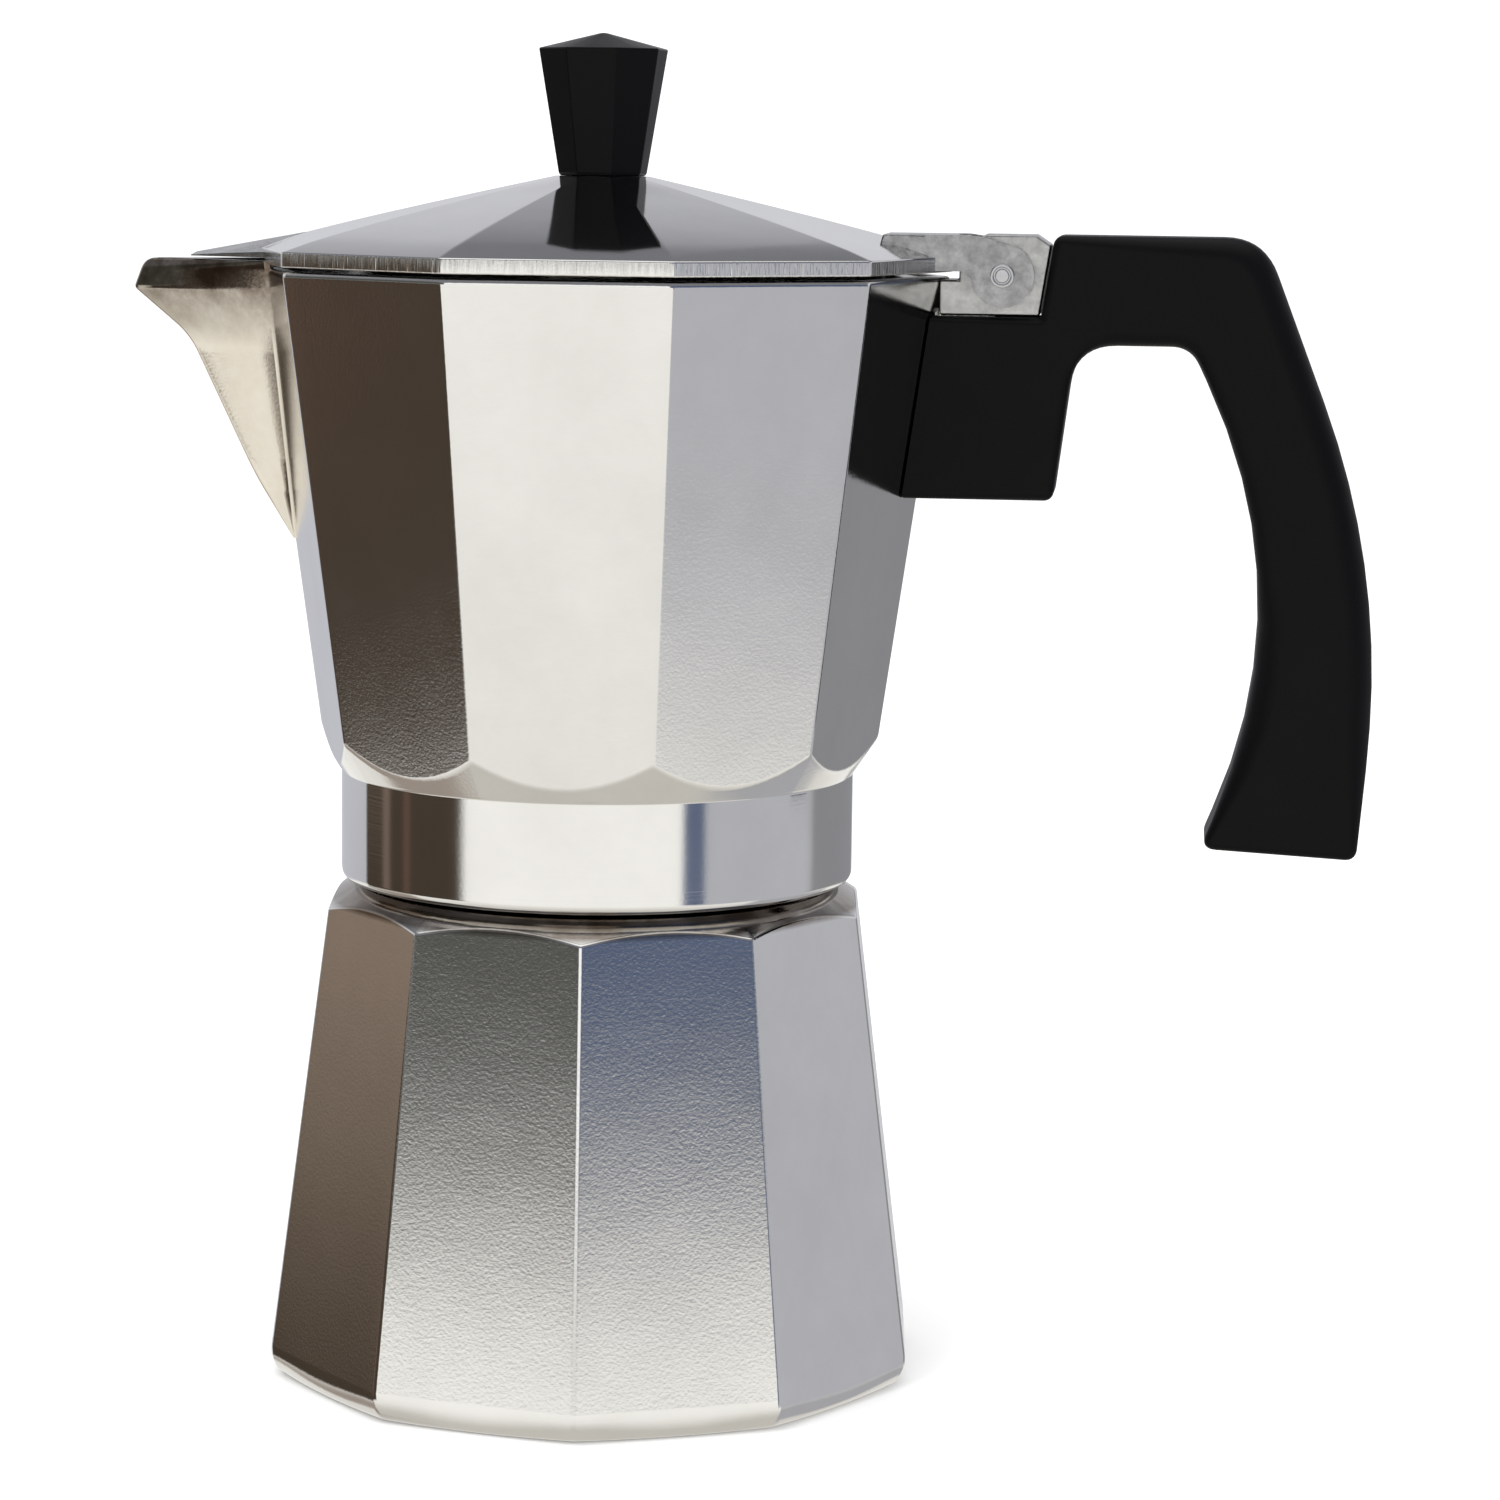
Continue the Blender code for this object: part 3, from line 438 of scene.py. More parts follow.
def silicone(name):
    """White moulded rubber with a dusty bloom."""
    made, tree, shader, where = start(name)
    shader.inputs["IOR"].default_value = 1.41
    shader.inputs["Subsurface Weight"].default_value = 0.1
    shader.inputs["Subsurface Scale"].default_value = 1.5 * MM
    dust = add(tree, "TexNoise", {"Scale": per(3), "Detail": 5.0}, {"Vector": where})
    mix = add(tree, "Mix", {"A": linear("#ece9e2"), "B": linear("#dcd8cf")},
              {"Factor": dust.outputs["Fac"]}, data_type="RGBA")
    tree.links.new(mix.outputs["Result"], shader.inputs["Base Color"])
    rough = add(tree, "MapRange", {"To Min": 0.45, "To Max": 0.62},
                {"Value": dust.outputs["Fac"]})
    tree.links.new(rough.outputs["Result"], shader.inputs["Roughness"])
    bump = add(tree, "Bump", {"Distance": 0.01 * MM}, {"Height": dust.outputs["Fac"]})
    tree.links.new(bump.outputs["Normal"], shader.inputs["Normal"])
    return made


RUBBER = silicone("white_silicone")
FINISHES = {"valve_body": BRASS, "valve_poppet": BRASS, "valve_spring": STEEL,
            "valve_washer": RUBBER, "gasket": RUBBER, "funnel_basket": SPUN,
            "funnel_stem": SPUN, "funnel_screen": SPUN, "filter_plate": SPUN,
            "column": SATIN, "knob_screw": STEEL, "knob_washer": STEEL,
            "handle_screw": STEEL, "handle_washer": STEEL}
for node, finish in FINISHES.items():
    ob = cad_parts[node]
    for held in ob.material_slots:
        held.material = finish
    eased = ob.modifiers.new("eased", "BEVEL")
    eased.width, eased.segments = 0.15 * MM, 2
    eased.angle_limit = math.radians(40)
print("finishes:", len(bpy.data.materials))

# %% [markdown]
# ## The boiler
# The boiler is cast with its foot eased almost to a circle, so that it sits flat
# on a burner, and it is turned on a lathe above the facets: the cone cuts each
# facet off in an arc.  The neck carries a real screw thread, a ridge that climbs
# 4.5 mm in a turn, which shows when the pot is opened.

# %% Boiler


def base_corner(z):
    return BASE_R + (SHOULDER_R - BASE_R) * z / SHOULDER_Z


def ridge(z, a, low, high, phase):
    """Height of a rounded thread, 0 to 1, fading out at both ends."""
    turn = (z - low) / PITCH - a / (2 * math.pi) + phase
    fade = min(1.0, max(0.0, (z - low) / 1.2)) * min(1.0, max(0.0, (high - z) / 1.2))
    return fade * min(1.0, max(0.0, 0.35 + 0.95 * math.cos(2 * math.pi * turn)))


def threaded(root, height, low, high, a, phase, rows=34):
    """Profile points of a screw thread, as it is met in direction a."""
    step = (high - low) / rows
    return [(root + height * ridge(low + k * step, a, low, high, phase), low + k * step, 0)
            for k in range(rows + 1)]


FOOT_H, FOOT_IN = 5.0, 3.2


def boiler_profile(a):
    f = facet(a - BASE_TURN)
    flat = math.cos(HALF)
    corners = [(0, 0, 0), (30, 0, 0.4), (31, 0.5, 0.4), (BASE_R - 10.5, 0.5, 0.4),
               (BASE_R - 9.5, 0, 0.4)]
    for z in (0, 0.08, 0.3, 0.7, 1.2, 1.9, 2.7, 3.6, FOOT_H):
        share = z / FOOT_H
        inset = FOOT_IN * (1 - math.sqrt(1 - (1 - share) ** 2))
        own = 0.5 + 0.5 * share * (2 - share)
        r = (own * f + (1 - own) * 0.972) * base_corner(z) - inset
        corners.append((r, z, 0))
    corners.append((base_corner(SHOULDER_Z / 2) * f, SHOULDER_Z / 2, 0))
    lean = (SHOULDER_R - BASE_R) / SHOULDER_Z
    cone = (LAND_R - SHOULDER_R) / (LAND_Z - SHOULDER_Z)
    rise = meet(SHOULDER_R * f, lean * f, SHOULDER_R, cone)
    corners += [((SHOULDER_R + lean * rise) * f, SHOULDER_Z + rise, 0.9),
                (LAND_R, LAND_Z, 0.4), (NECK_R + 0.1, LAND_Z + 0.1, 0.4)]
    corners += threaded(NECK_R, 1.0, LAND_Z + 1.6, NECK_TOP - 1.2, a, 0.0)
    corners += [(NECK_R, NECK_TOP - 0.7, 0), (NECK_R - 0.5, NECK_TOP, 0.3),
                (MOUTH_R + 0.5, NECK_TOP, 0.3), (MOUTH_R, NECK_TOP - 0.5, 0.3),
                (MOUTH_R, LAND_Z, 2), (MOUTH_R + 3.6, SHOULDER_Z, 3)]
    corners += [((base_corner(z) - 3.0 / flat) * f, z, 3) for z in (SHOULDER_Z - 8, 14)]
    corners += [(BASE_R - 8.0, 6.2, 2), (BASE_R - 11, 4.0, 2), (0, 4.0, 0)]
    return soften(corners)


boiler = place("boiler_casting", skin("boiler_casting", boiler_profile, BASE_TURN), TUMBLED)
VALVE_TURN, VALVE_Z, SHANK_R = math.radians(40.2), 42.2, 4.6
lean = math.atan((BASE_R - SHOULDER_R) * math.cos(HALF) / SHOULDER_Z)
valve_place = (Matrix.Rotation(VALVE_TURN, 4, "Z")
               @ Matrix.Translation(Vector((base_corner(VALVE_Z) * math.cos(HALF), 0, VALVE_Z)) * MM)
               @ Matrix.Rotation(math.pi / 2 - lean, 4, "Y"))


def drilled(name, radius, low, high, at=None, count=32):
    """Round cutter along Z, from low to high, moved to its place."""
    mesh = skin(name, lambda a: [(0, low), (radius, low), (radius, high), (0, high)], count=count)
    if at is not None:
        mesh.transform(at)
    return place(name, mesh, cutter=True)


join(boiler, drilled("valve_hole", SHANK_R, -9, 3, valve_place), "DIFFERENCE")
settle(boiler, "boiler", "boiler")

# %% [markdown]
# ## The upper casting
# Collar, cup, spout, hinge lug and handle rib are one casting.  The cup is made
# in the same way as the boiler, open at the top and threaded inside the collar.
# The spout, the lug and the rib are made on their own and joined to it, which
# is how a pattern maker builds the pattern too.

# %% Cup and collar
cup_lean = (CUP_R1 - CUP_R0) / (RIM_Z - CUP_Z)


def cup_corner(z):
    return CUP_R0 + cup_lean * (z - CUP_Z)


def cup_profile(a):
    f, flat = facet(a), math.cos(HALF)
    flare = 3.9 / 5.9
    corners = [(COLLAR_BORE + 0.6, COLLAR_Z, 0.3), (COLLAR_R, COLLAR_Z, 1.9),
               (COLLAR_R, COLLAR_Z + 8, 0), (COLLAR_R, COLLAR_TOP, 0.5),
               (COLLAR_R + 0.3, COLLAR_TOP + 0.4, 0.5)]
    start_r = COLLAR_R + 0.3
    rise = meet(cup_corner(COLLAR_TOP + 0.4) * f, cup_lean * f, start_r, flare)
    z = COLLAR_TOP + 0.4 + rise
    corners += [(start_r + flare * rise, z, 3.0), (cup_corner((z + RIM_Z) / 2) * f, (z + RIM_Z) / 2, 0),
                (cup_corner(RIM_Z) * f, RIM_Z, 1.3)]

    def inner(z, inset):
        return (cup_corner(z) - inset / flat) * f

    corners += [(inner(RIM_Z, CUP_WALL), RIM_Z, 0.5), (inner(RIM_Z - 30, CUP_WALL), RIM_Z - 30, 0),
                (inner(CUP_FLOOR + 5, CUP_WALL), CUP_FLOOR + 5, 3), (CUP_R0 - 6.5, CUP_FLOOR, 3),
                (6.1, CUP_FLOOR, 0.2), (6.1, CEILING_Z + 3.4, 0.2), (27.1, CEILING_Z + 3.0, 0.8),
                (27.6, CEILING_Z, 0.3), (34.7, CEILING_Z, 0.2), (34.7, NECK_TOP + 0.6, 0.1),
                (COLLAR_BORE, NECK_TOP + 0.5, 0.1)]
    thread = threaded(COLLAR_BORE, -0.9, COLLAR_Z + 1.2, NECK_TOP - 0.4, a, 0.5)
    corners += thread[::-1] + [(COLLAR_BORE, COLLAR_Z + 0.8, 0), corners[0]]
    return soften(corners)[1:]


cup = place("upper_casting", skin("upper_casting", cup_profile, closed=True), SATIN)

# %% [markdown]
# The spout is a keel: two cheeks that leave the facets in a straight root line
# and meet in a blunt nose, with a lip that curls over at the top so that the
# last drop falls clear.  It is lofted level by level, because no primitive has
# a nose that both narrows and curls.

# %% Spout
SPOUT_HALF, SPOUT_DROP, LIP_UP = 11.4, 44.0, 1.0


def arcs(corners, steps=6):
    """Outline with rounded corners, closed."""
    loop = [corners[-1]] + corners + [corners[0]]
    return [tuple(p) for p in soften(loop, steps, 0.88)[1:-1]]


def nose_line():
    """Foot to lip: the spout's front, as (distance from the axis, height)."""
    r, z = CUP_R1, RIM_Z
    line = soften([(r - 5.9, z - SPOUT_DROP, 0), (r + 0.4, z - 33.9, 60), (r + 11.1, z - 11.4, 14),
                   (r + 20.2, z - 3.8, 0.9), (r + 18.4, z + LIP_UP, 3.2),
                   (r + 14, z + LIP_UP, 0)], 8)
    return sorted({(round(p.y, 3), round(p.x, 3)) for p in line if p.x <= r + 20.2})


def spout_rows(wall):
    slope = math.tan(HALF)
    rows = []
    for z, out in nose_line():
        share = min(1.0, (z - RIM_Z + SPOUT_DROP) / SPOUT_DROP)
        half = max(SPOUT_HALF * share - wall, 0.25)
        side = cup_corner(z) - (half + wall) * slope
        nose = max(out - 1.7 * wall, side + 0.4)
        back = cup_corner(z) - (9.0 if wall else 4.6)
        blunt = min(1.0, half * 0.7, (nose - side) * 0.5)
        cheek = []
        for k in range(9):             # from the root to the nose's rounding
            s = k / 8
            y = half + (blunt * 0.85 - half) * s
            x = side + (nose - blunt - side) * s
            fold = 0.9 * (1 - s) ** 6 if not wall else 0.0
            bulge = math.sin(math.pi * s) * 0.35 * share
            cheek.append((x - 0.3 * bulge, y + fold + bulge))
        for k in range(1, 4):
            turn = math.pi / 2 * k / 4
            cheek.append((nose - blunt + blunt * math.sin(turn), blunt * 0.85 * math.cos(turn)))
        near = [(-back, -cheek[0][1])] + [(-x, -y) for x, y in cheek]
        far = [(-x, y) for x, y in reversed(cheek)] + [(-back, cheek[0][1])]
        rows.append([(x, y, z) for x, y in near + [(-nose, 0)] + far])
    return rows


spout = place("spout", mesh_from("spout", spout_rows(0), False), AS_CAST_PAINTED_LIP, cutter=True)
rows = spout_rows(2.0)[4:]
rows.append([(x, y, z + 3) for x, y, z in rows[-1]])
hollow = place("spout_hollow", mesh_from("spout_hollow", rows, False), cutter=True)


# %% [markdown]
# Lug and rib are flat shapes with their edges eased.  A filled 2D outline with
# a thickness gives the slab, and a Bevel rounds it like the mould does.

# %% Hinge lug and handle rib


def slab(name, outline, low, high, ease, finish=None):
    """Outline in the XZ plane, thick along Y, with its edges eased."""
    bm = bmesh.new()
    for y in (low, high):
        bm.faces.new([bm.verts.new(Vector((x, y, z)) * MM) for x, z in outline])
    bm.verts.ensure_lookup_table()
    count = len(outline)
    for i in range(count):
        j = (i + 1) % count
        bm.faces.new((bm.verts[i], bm.verts[j], bm.verts[count + j], bm.verts[count + i]))
    bmesh.ops.recalc_face_normals(bm, faces=bm.faces)
    mesh = bpy.data.meshes.new(name)
    bm.to_mesh(mesh)
    bm.free()
    ob = place(name, mesh, finish, cutter=True)
    if ease:
        mod = ob.modifiers.new("ease", "BEVEL")
        mod.width, mod.segments, mod.angle_limit = ease * MM, 3, math.radians(40)
    return ob


LUG_HALF, LUG_REACH, RIB_HALF = 5.2, 6.9, 3.6
PIN_BORE, TAP_BORE, KNOB_BORE = 1.56, 1.62, 2.1
inside = CUP_R1 - 1.6
lug = arcs([(inside, PIN_Z - 6.38, 0), (PIN_X + 5.9, PIN_Z - 6.38, 0.6),
            (PIN_X + 7.6, PIN_Z + 4.8, 0.6), (PIN_X + 5.2, PIN_Z + 6.4, 0.6),
            (PIN_X - 2.8, PIN_Z + 6.4, 0)])
lug += [(PIN_X - LUG_REACH * math.cos(t), PIN_Z + LUG_REACH * math.sin(t))
        for t in map(math.radians, range(54, 3, -10))]
lug += [(PIN_X - LUG_REACH, RIM_Z - 0.5), (inside, RIM_Z - 0.5)]
SCREW_X, RIB_Z = CUP_R1 + 2.5, RIM_Z - 26.4
rib = [(cup_corner(RIB_Z) - 1.8, RIB_Z), (SCREW_X + 4.8, RIB_Z), (SCREW_X + 4.8, PIN_Z - 5.1),
       (inside, PIN_Z - 5.1)]
join(cup, slab("lug", lug, -LUG_HALF, LUG_HALF, 0.4, ROUGH_CAST))
join(cup, slab("rib", rib, -RIB_HALF, RIB_HALF, 0.4))
join(cup, spout)
join(cup, hollow, "DIFFERENCE")
hinge = Matrix.Translation(Vector((PIN_X, 0, PIN_Z)) * MM) @ Matrix.Rotation(math.pi / 2, 4, "X")
join(cup, drilled("lug_bore", PIN_BORE, -9, 9, hinge), "DIFFERENCE")
tap_place = Matrix.Translation(Vector((SCREW_X, 0, 0)) * MM)
join(cup, drilled("rib_bore", TAP_BORE, RIB_Z - 4, RIB_Z + 14, tap_place), "DIFFERENCE")
settle(cup, "upper", "collector", angle=30)

# %% [markdown]
# ## The lid
# The lid is a shallow ten-sided cone with a filed skirt.  A ridge runs out over
# the spout as a beak, and a flat tail with two ears takes the hinge pin.

# %% Lid
LID_EDGE, LID_RISE, LID_WALL, LID_FLAT_R = 2.35, LID_TOP - LID_Z - 2.35, 2.2, 7.5


def lid_height(r):
    share = max(0.0, (LID_R - r) / (LID_R - LID_FLAT_R))
    return LID_Z + LID_EDGE + LID_RISE * share ** 0.88


def lid_profile(a):
    f = facet(a)
    shares = [0.163, 0.22, 0.284, 0.36, 0.43, 0.497, 0.57, 0.645, 0.718, 0.79, 0.853, 0.92]
    corners = [(0, LID_TOP, 0), (LID_FLAT_R, LID_TOP, 0.5)]
    for share in shares:
        fade = min(1.0, (share - 0.133) / 0.2)
        corners.append((LID_R * share * (f * fade + 1 - fade), lid_height(LID_R * share), 0))
    corners += [(LID_R * f, LID_Z + LID_EDGE, 0.35), (LID_R * f, LID_Z, 0.3),
                ((LID_R - 3.9) * f, LID_Z, 0.2), ((LID_R - 4.3) * f, LID_Z + 0.4, 0.2),
                ((LID_R - 5.7) * f, LID_Z + 2.0, 0.8)]
    corners += [(LID_R * s * 0.98 * f, lid_height(LID_R * s) - LID_WALL, 0)
                for s in (0.853, 0.718, 0.497, 0.284)]
    corners += [(9.0, LID_TOP - LID_WALL - 0.5, 0), (0, LID_TOP - LID_WALL - 0.4, 0)]
    return soften(corners)


lid = place("lid_casting", skin("lid_casting", lid_profile), POLISHED)
EAR_IN, EAR_OUT, TAIL_TOP = LUG_HALF + 0.3, LUG_HALF + 2.4, PIN_Z + 6.3
stop, low = PIN_X - LUG_REACH - 0.4, LID_Z + 0.3
tail = [(LID_R - 11.4, TAIL_TOP - 2.0), (LID_R - 10.8, TAIL_TOP), (stop, TAIL_TOP), (stop, low),
        (LID_R - 6, low)]
join(lid, slab("tail", tail, -EAR_OUT, EAR_OUT, 0.35, EAR_CAST))
ear = [(stop - 5, TAIL_TOP), (PIN_X - 5.8, TAIL_TOP), (PIN_X - 2.4, TAIL_TOP - 0.45)]
ear += [(PIN_X + 5.0 * math.sin(t), PIN_Z + 5.0 * math.cos(t))
        for t in map(math.radians, range(26, 275, 8))]
ear += [(PIN_X - 5.0, PIN_Z - 0.5), (PIN_X - 6.4, low), (stop - 5, low)]
for name, y in (("near_ear", -EAR_OUT), ("far_ear", EAR_IN)):
    join(lid, slab(name, ear, y, y + EAR_OUT - EAR_IN, 0.7, EAR_CAST))

under, half, root = RIM_Z + LIP_UP + 0.5, SPOUT_HALF - 0.2, LID_R - 8.3
rows = []
for out, y, fall in ((0, half + 1.2, 2.2), (4.6, half, 2.2), (11.5, 7.9, 1.2), (18.0, 4.7, 0.4)):
    ridge_z = lid_height(root) - 0.19 * out
    x = root + out
    rows.append([(-x, -y, under), (-x, -y, ridge_z - fall), (-x, -0.5, ridge_z), (-x, 0.5, ridge_z),
                 (-x, y, ridge_z - fall), (-x, y, under)])
beak = place("beak", mesh_from("beak", rows, False), ROUGH_CAST, cutter=True)
mod = beak.modifiers.new("ease", "BEVEL")
mod.width, mod.segments, mod.angle_limit = 0.35 * MM, 3, math.radians(25)
join(lid, beak)
notch = [(-LID_R - 14, LID_Z - 1), (-LID_R + 6.7, LID_Z - 1), (-LID_R + 6.7, under - 0.02),
         (-LID_R - 14, under - 0.02)]
join(lid, slab("spout_notch", notch, -half - 1.2, half + 1.2, 0), "DIFFERENCE")
join(lid, drilled("ear_bore", PIN_BORE, -9, 9, hinge), "DIFFERENCE")
join(lid, drilled("knob_bore", KNOB_BORE, LID_TOP - 6, LID_TOP + 2), "DIFFERENCE")
settle(lid, "lid", "lid", angle=25)

# %% [markdown]
# ## The hinge pin
# The pin is a rivet.  Its head is turned with a groove round a small centre, so
# it shows as a bright disc inside a bright ring.

# %% Hinge pin


def pin_profile(a):
    end = PIN_END
    half = [(0, end - 0.1, 0), (1.0, end - 0.1, 0.12), (1.12, end - 0.3, 0.1), (1.34, end - 0.3, 0.1),
            (1.46, end, 0.12), (1.9, end, 0.2), (1.9, end - 0.5, 0.1), (1.5, end - 0.55, 0.1)]
    return soften(half + [(r, -z, c) for r, z, c in reversed(half)])


mesh = skin("hinge_rivet", pin_profile, count=48)
mesh.transform(hinge)
settle(place("hinge_rivet", mesh, STEEL), "upper", "hinge_pin")

# %% [markdown]
# ## The knob
# The knob has eight flat sides that widen upwards, and a shallow pyramid on top.
# Its corners are eased by a Bevel, narrow enough to stay crisp.

# %% Knob
KNOB_SIDES, KNOB_TURN = 8, math.radians(17.9)
KNOB_R0, KNOB_R1 = 7.2, 10.5
SEAM = 0.02                      # the knob all but touches the lid


def octagon(r, z, shape=True):
    """A ring of the knob: eight flats, or a circle for its screw's hole."""
    points = []
    for i in range(2 * KNOB_SIDES):
        a = KNOB_TURN + math.pi * i / KNOB_SIDES
        flat = math.cos(math.pi / KNOB_SIDES) if shape and i % 2 else 1.0
        points.append((r * flat * math.cos(a), r * flat * math.sin(a), z))
    return points


z = LID_TOP + SEAM
rows = [octagon(1.7, z + 8.1, False), octagon(1.7, z, False), octagon(KNOB_R0 - 0.3, z),
        octagon(KNOB_R0, z + 0.4), octagon(KNOB_R1, KNOB_TOP - 2.5), octagon(0.4, KNOB_TOP)]
knob = place("knob_grip", mesh_from("knob_grip", rows, False), KNOB_BLACK)
mod = knob.modifiers.new("ease", "BEVEL")
mod.width, mod.segments, mod.angle_limit = 0.35 * MM, 3, math.radians(14)
settle(knob, "lid", "knob")

# %% [markdown]
# ## The grip
# One moulding: a block that straddles the casting's corner, and a long bow for
# the hand.  Its outline is arcs and straight lines.  The edge is rounded with a
# width that changes along the outline: broad on the outside of the bow, where
# the palm lies, medium on the inside, and narrow on the block.  A Bevel stops
# at the shortest edge of an arc, so the rounding is lofted, one outline inside
# the other.

# %% Handle
BLOCK_H = 35.1


def at(dx, dz, radius):
    return PIN_X + dx, RIM_Z + dz, radius


top = TAIL_TOP - RIM_Z + 0.1
outline = arcs([at(-16.4, -BLOCK_H, 0), at(8.6, -BLOCK_H, 1.8), at(11.7, -10.5, 7.5),
                at(29.8, -10.5, 5.0), at(49.2, -49.9, 86), at(33.2, -90.2, 1.9),
                at(58.0, -91.5, 2.0), at(62.0, -47.1, 128), at(41.0, top, 9.0),
                at(8.1, top, 1.9), at(6.1, -6.2, 0.4), at(-16.4, -6.2, 0)], 9)
OUTER_EDGE, INNER_EDGE, PLAIN_EDGE = 4.6, 2.8, 1.4


def ramp(value, low, high):
    return min(1.0, max(0.0, (value - low) / (high - low)))


def easing(x, z):
    """How far the edge is rounded at this place of the outline."""
    x, z = x - PIN_X, z - RIM_Z
    foot = ramp(z, -87, -72)
    if z > -5:
        return PLAIN_EDGE + (OUTER_EDGE - PLAIN_EDGE) * ramp(x, 20, 42)
    if x > 52 + 0.22 * z:
        return PLAIN_EDGE + (OUTER_EDGE - PLAIN_EDGE) * foot
    return PLAIN_EDGE + (INNER_EDGE - PLAIN_EDGE) * foot * ramp(x, 10, 16)


def inset(line, share):
    """The outline moved inwards by a share of its easing."""
    moved = []
    for i, (x, z) in enumerate(line):
        before, after = Vector(line[i - 1]), Vector(line[(i + 1) % len(line)])
        along = (after - before).normalized()
        deep = easing(x, z) * share
        moved.append((x - along.y * deep, z + along.x * deep))
    return moved


rows = []
for side in (-1, 1):
    steps = [k / 7 for k in range(8)]
    for s in steps if side < 0 else steps[::-1]:
        turn = s * math.pi / 2
        line = inset(outline, 1 - math.sin(turn))
        rows.append([(x, side * (HANDLE_HALF - easing(*outline[i]) * (1 - math.cos(turn))), z)
                     for i, (x, z) in enumerate(line)])
grip = place("grip", mesh_from("grip", rows, False), GRIP_BLACK)
shape = [[(r * math.cos(a), r * math.sin(a), z) for a in directions()
          for r in [(cup_corner(z) + 0.3) * facet(a)]] for z in (RIM_Z - BLOCK_H - 15, RIM_Z + 12)]
join(grip, place("casting_shape", mesh_from("casting_shape", shape, False), cutter=True), "DIFFERENCE")
slot = [(PIN_X - 24, RIB_Z - 0.3), (SCREW_X + 5.1, RIB_Z - 0.3), (SCREW_X + 5.1, RIM_Z),
        (PIN_X - 24, RIM_Z)]
join(grip, slab("rib_slot", slot, -RIB_HALF - 0.3, RIB_HALF + 0.3, 0), "DIFFERENCE")
low = RIM_Z - BLOCK_H
join(grip, drilled("screw_head_way", 3.6, low - 3, low + 3.3, tap_place), "DIFFERENCE")
join(grip, drilled("screw_way", 2.0, low, RIB_Z + 3, tap_place), "DIFFERENCE")
settle(grip, "upper", "handle", angle=50)

# %% [markdown]
# ## Room, light and camera
# A polished casting shows the room more than itself.  The room here is a pale
# table under soft light, with a darker side to the left and a grey one to the
# right, as in a small studio.  It is painted on the sky by direction.  The table
# itself is a plain pale floor that catches the pot's own soft shadow.

# %% Floor
FLOOR_R = 12.0                   # metres, so that its edge is never seen
floor = place("floor", bpy.data.meshes.new("floor"))
bm = bmesh.new()
bmesh.ops.create_circle(bm, cap_ends=True, segments=64, radius=FLOOR_R)
bm.to_mesh(floor.data)
bm.free()
paper, tree, shader, where = start("matt_white_paper")
shader.inputs["Base Color"].default_value = linear("#f6f6f6")
shader.inputs["Roughness"].default_value = 0.9
shader.inputs["Specular IOR Level"].default_value = 0.0
floor.data.materials.append(paper)
floor.location.z = -0.1 * MM
floor.visible_glossy = False

# %% [markdown]
# Each card is a patch of the room: where it starts and ends round the pot,
# counted from straight ahead, where it starts and ends above the horizon, how
# soft its borders are, and its colour.

# %% Room
CARDS = [
    # left edge, right edge, low, high, side softness, height softness (degrees), colour;
    # an edge past 185 degrees means that the card runs on round the back
    (92, 200, -3, 24, 12, 20, "#cacbd0"),
    (-200, -92, -3, 26, 12, 20, "#cacbd0"),
    (-200, -114, -16, -1, 6, 4, "#bcbdc4"),
    (-125, -88, -60, -20, 6, 16, "#9a9087"),
    (86, 140, -60, -18, 8, 16, "#a8a8ac"),
    (-120, -55, -19.8, -0.5, 6, 3, "#423930"),
    (-116, -102, -6, 6, 4, 8, "#857669"),
    (-104, -99, -14, -5, 4, 4, "#75655b"),
    (-89, -85, -14, -4, 3, 4, "#5f4b40"),
    (48, 120, -20.5, 1.0, 10, 4, "#b4b5bb"),
    (46, 56, -14, 1.5, 4, 3, "#5c667f"),
    (118, 176, -17, 1.5, 8, 4, "#898a8e"),
    (-92, -22, 0.1, 16, 10, 6.0, "#4f504c"),
    (20, 80, 1.7, 16, 10, 5.5, "#4c5b79"),
    (-18, 16, 0.5, 16, 8, 3, "#ffffff"),
]
world = bpy.data.worlds.new("studio")
bpy.context.scene.world = world
world.use_nodes = True
tree = world.node_tree
tree.nodes.clear()
looking = add(tree, "TexCoord").outputs["Generated"]
part = add(tree, "SeparateXYZ", links={0: looking})
minus_y = add(tree, "Math", {1: -1.0}, {0: part.outputs["Y"]}, operation="MULTIPLY")
side = add(tree, "Math", links={0: part.outputs["X"], 1: minus_y.outputs[0]},
           operation="ARCTAN2").outputs[0]
up = add(tree, "Math", links={0: part.outputs["Z"]}, operation="ARCSINE").outputs[0]


def edge(value, place_deg, soft):
    """0 below a direction and 1 above it, over a soft border in degrees."""
    step = add(tree, "MapRange", {"From Min": math.radians(place_deg - soft / 2),
                                  "From Max": math.radians(place_deg + soft / 2)},
               {"Value": value}, interpolation_type="SMOOTHSTEP")
    return step.outputs["Result"]


sky = add(tree, "Mix", {"A": linear("#75767b"), "B": linear("#ffffff")},
          {"Factor": edge(up, 52, 16)}, data_type="RGBA").outputs["Result"]
floor_like = add(tree, "Math", {0: 1.0}, {1: edge(up, -0.5, 6)}, operation="SUBTRACT").outputs[0]
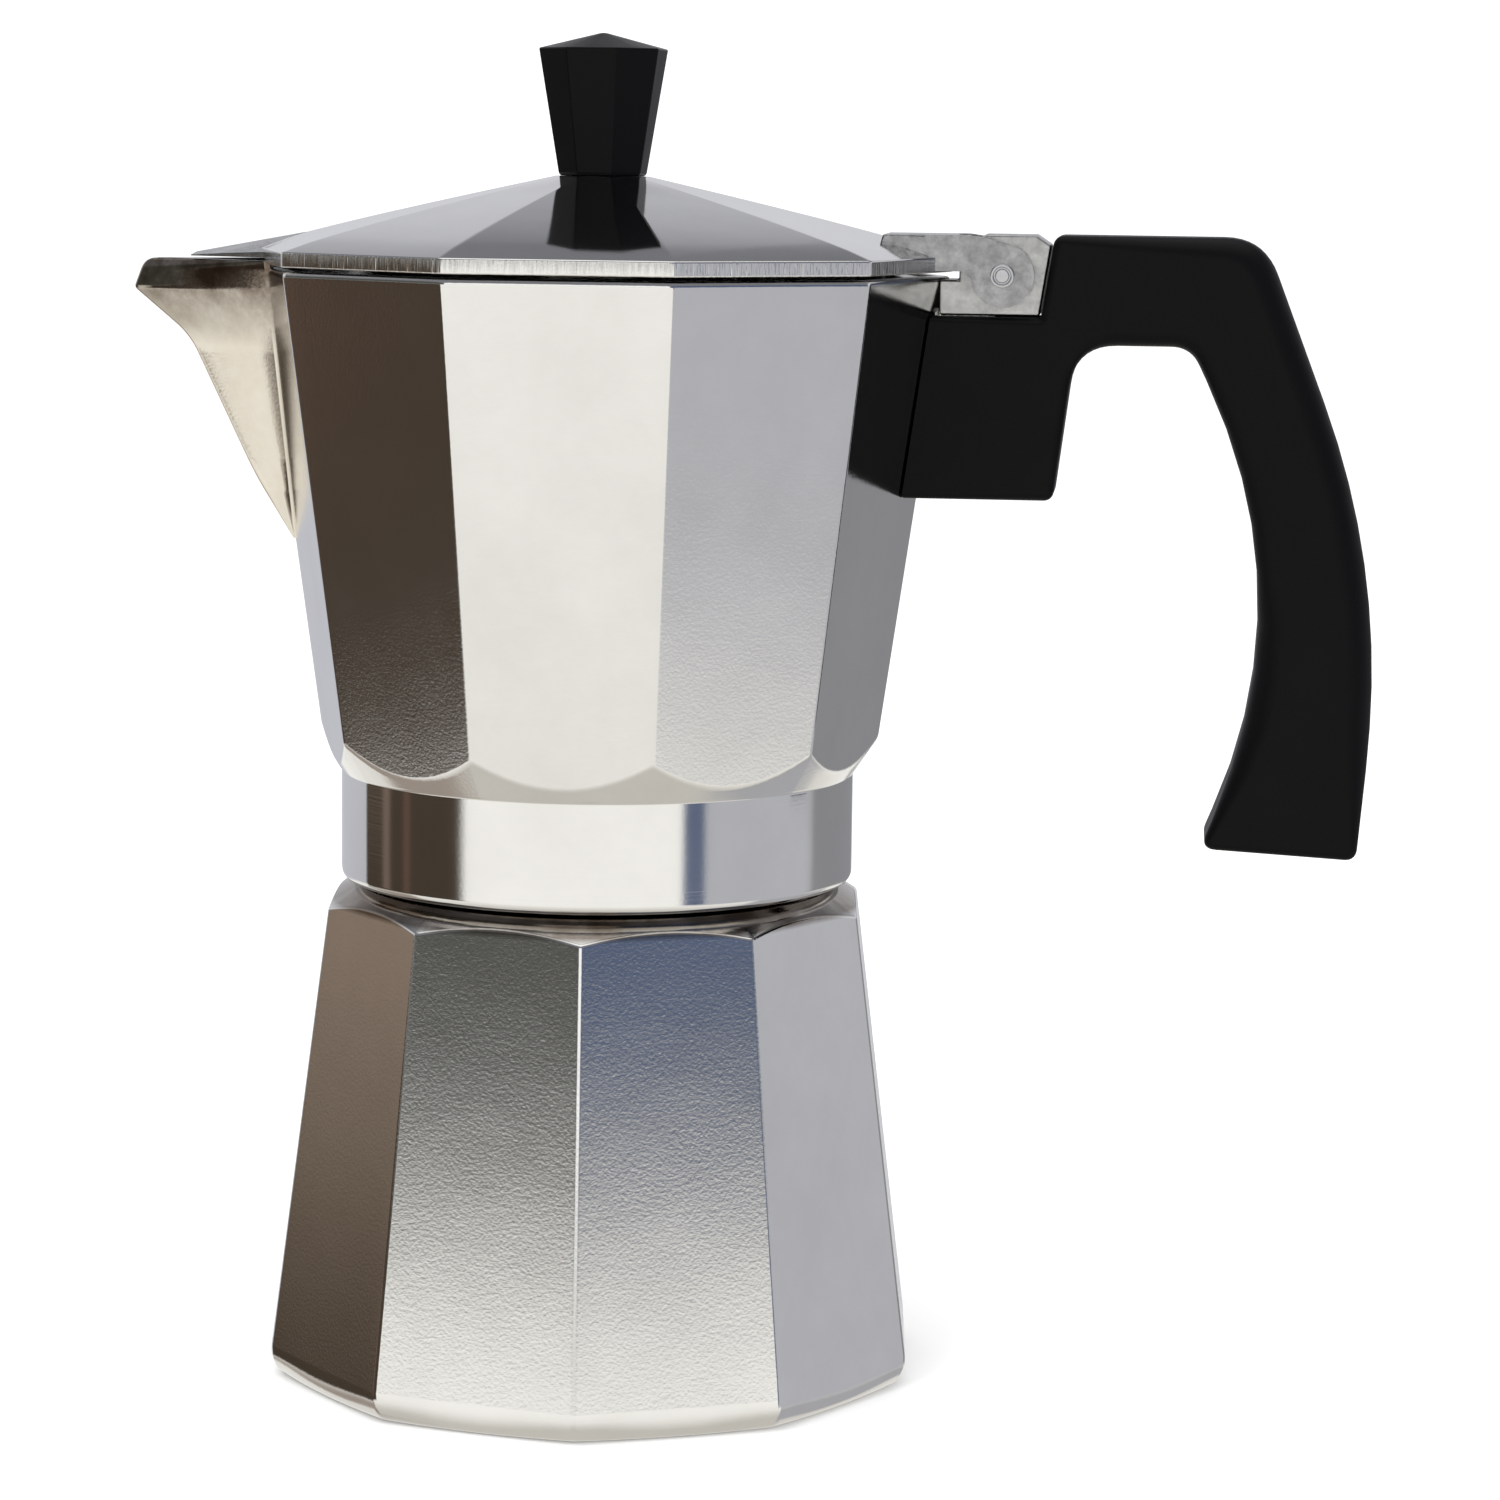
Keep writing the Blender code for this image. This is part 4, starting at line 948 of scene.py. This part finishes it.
# painted shadow: the table seen in reflections greys steeply below, standing in for the pot's own shade
# on it, since the floor itself is hidden from reflections
near = add(tree, "Mix", {"A": linear("#c6c3bc"), "B": linear("#f9f8f4")},
           {"Factor": edge(up, -31, 56)}, data_type="RGBA").outputs["Result"]
sky = add(tree, "Mix", links={"Factor": floor_like, "A": sky, "B": near},
          data_type="RGBA").outputs["Result"]
for left, right, low, high, soft_side, soft_up, colour in CARDS:
    mask = None
    for value, place_deg, soft, flip in ((side, left, soft_side, False), (side, right, soft_side, True),
                                         (up, low, soft_up, False), (up, high, soft_up, True)):
        if abs(place_deg) > 185:
            continue
        step = edge(value, place_deg, soft)
        if flip:
            step = add(tree, "Math", {0: 1.0}, {1: step}, operation="SUBTRACT").outputs[0]
        mask = step if mask is None else add(tree, "Math", links={0: mask, 1: step},
                                             operation="MULTIPLY").outputs[0]
    sky = add(tree, "Mix", {"B": linear(colour)}, {"Factor": mask, "A": sky},
              data_type="RGBA").outputs["Result"]
room = add(tree, "Background", {"Strength": 1.1}, {"Color": sky})
open_light = add(tree, "Background", {"Color": (1, 1, 1, 1), "Strength": 1.25})
kind = add(tree, "LightPath")
both = add(tree, "MixShader", links={0: kind.outputs["Is Glossy Ray"], 1: open_light.outputs[0],
                                     2: room.outputs[0]})
add(tree, "OutputWorld", links={"Surface": both.outputs[0]})

# %% [markdown]
# Two large soft boxes stand above and beside the pot.  They shape the plastic
# and the small pieces; the castings take their look from the room.

# %% Lamps and camera
LAMPS = [("top_box", (-0.5, -0.6, 1.3), 1.2, 9.0), ("right_box", (1.2, -0.7, 0.7), 0.9, 5.0)]
for name, spot, size, power in LAMPS:
    lamp = bpy.data.lights.new(name, "AREA")
    lamp.shape, lamp.size, lamp.energy = "SQUARE", size, power
    ob = bpy.data.objects.new(name, lamp)
    bpy.context.scene.collection.objects.link(ob)
    ob.location = spot
    ob.rotation_euler = (Vector((0, 0, 0.1)) - Vector(spot)).to_track_quat("-Z", "Y").to_euler()
    ob.visible_glossy = False

camera = bpy.data.cameras.new("camera")
camera.lens, camera.sensor_width = 107.36, 36.0
camera.clip_start, camera.clip_end = 0.01, 50.0
eye = bpy.data.objects.new("camera", camera)
bpy.context.scene.collection.objects.link(eye)
eye.matrix_world = (Matrix.Translation((0.0924, -0.7152, 0.1990))
                    @ Matrix.Rotation(math.radians(5.40), 4, "Z")
                    @ Matrix.Rotation(math.radians(90 - 7.733), 4, "X")
                    @ Matrix.Rotation(math.radians(0.726), 4, "Z"))
bpy.context.scene.camera = eye
bpy.context.scene.view_settings.view_transform = "Standard"
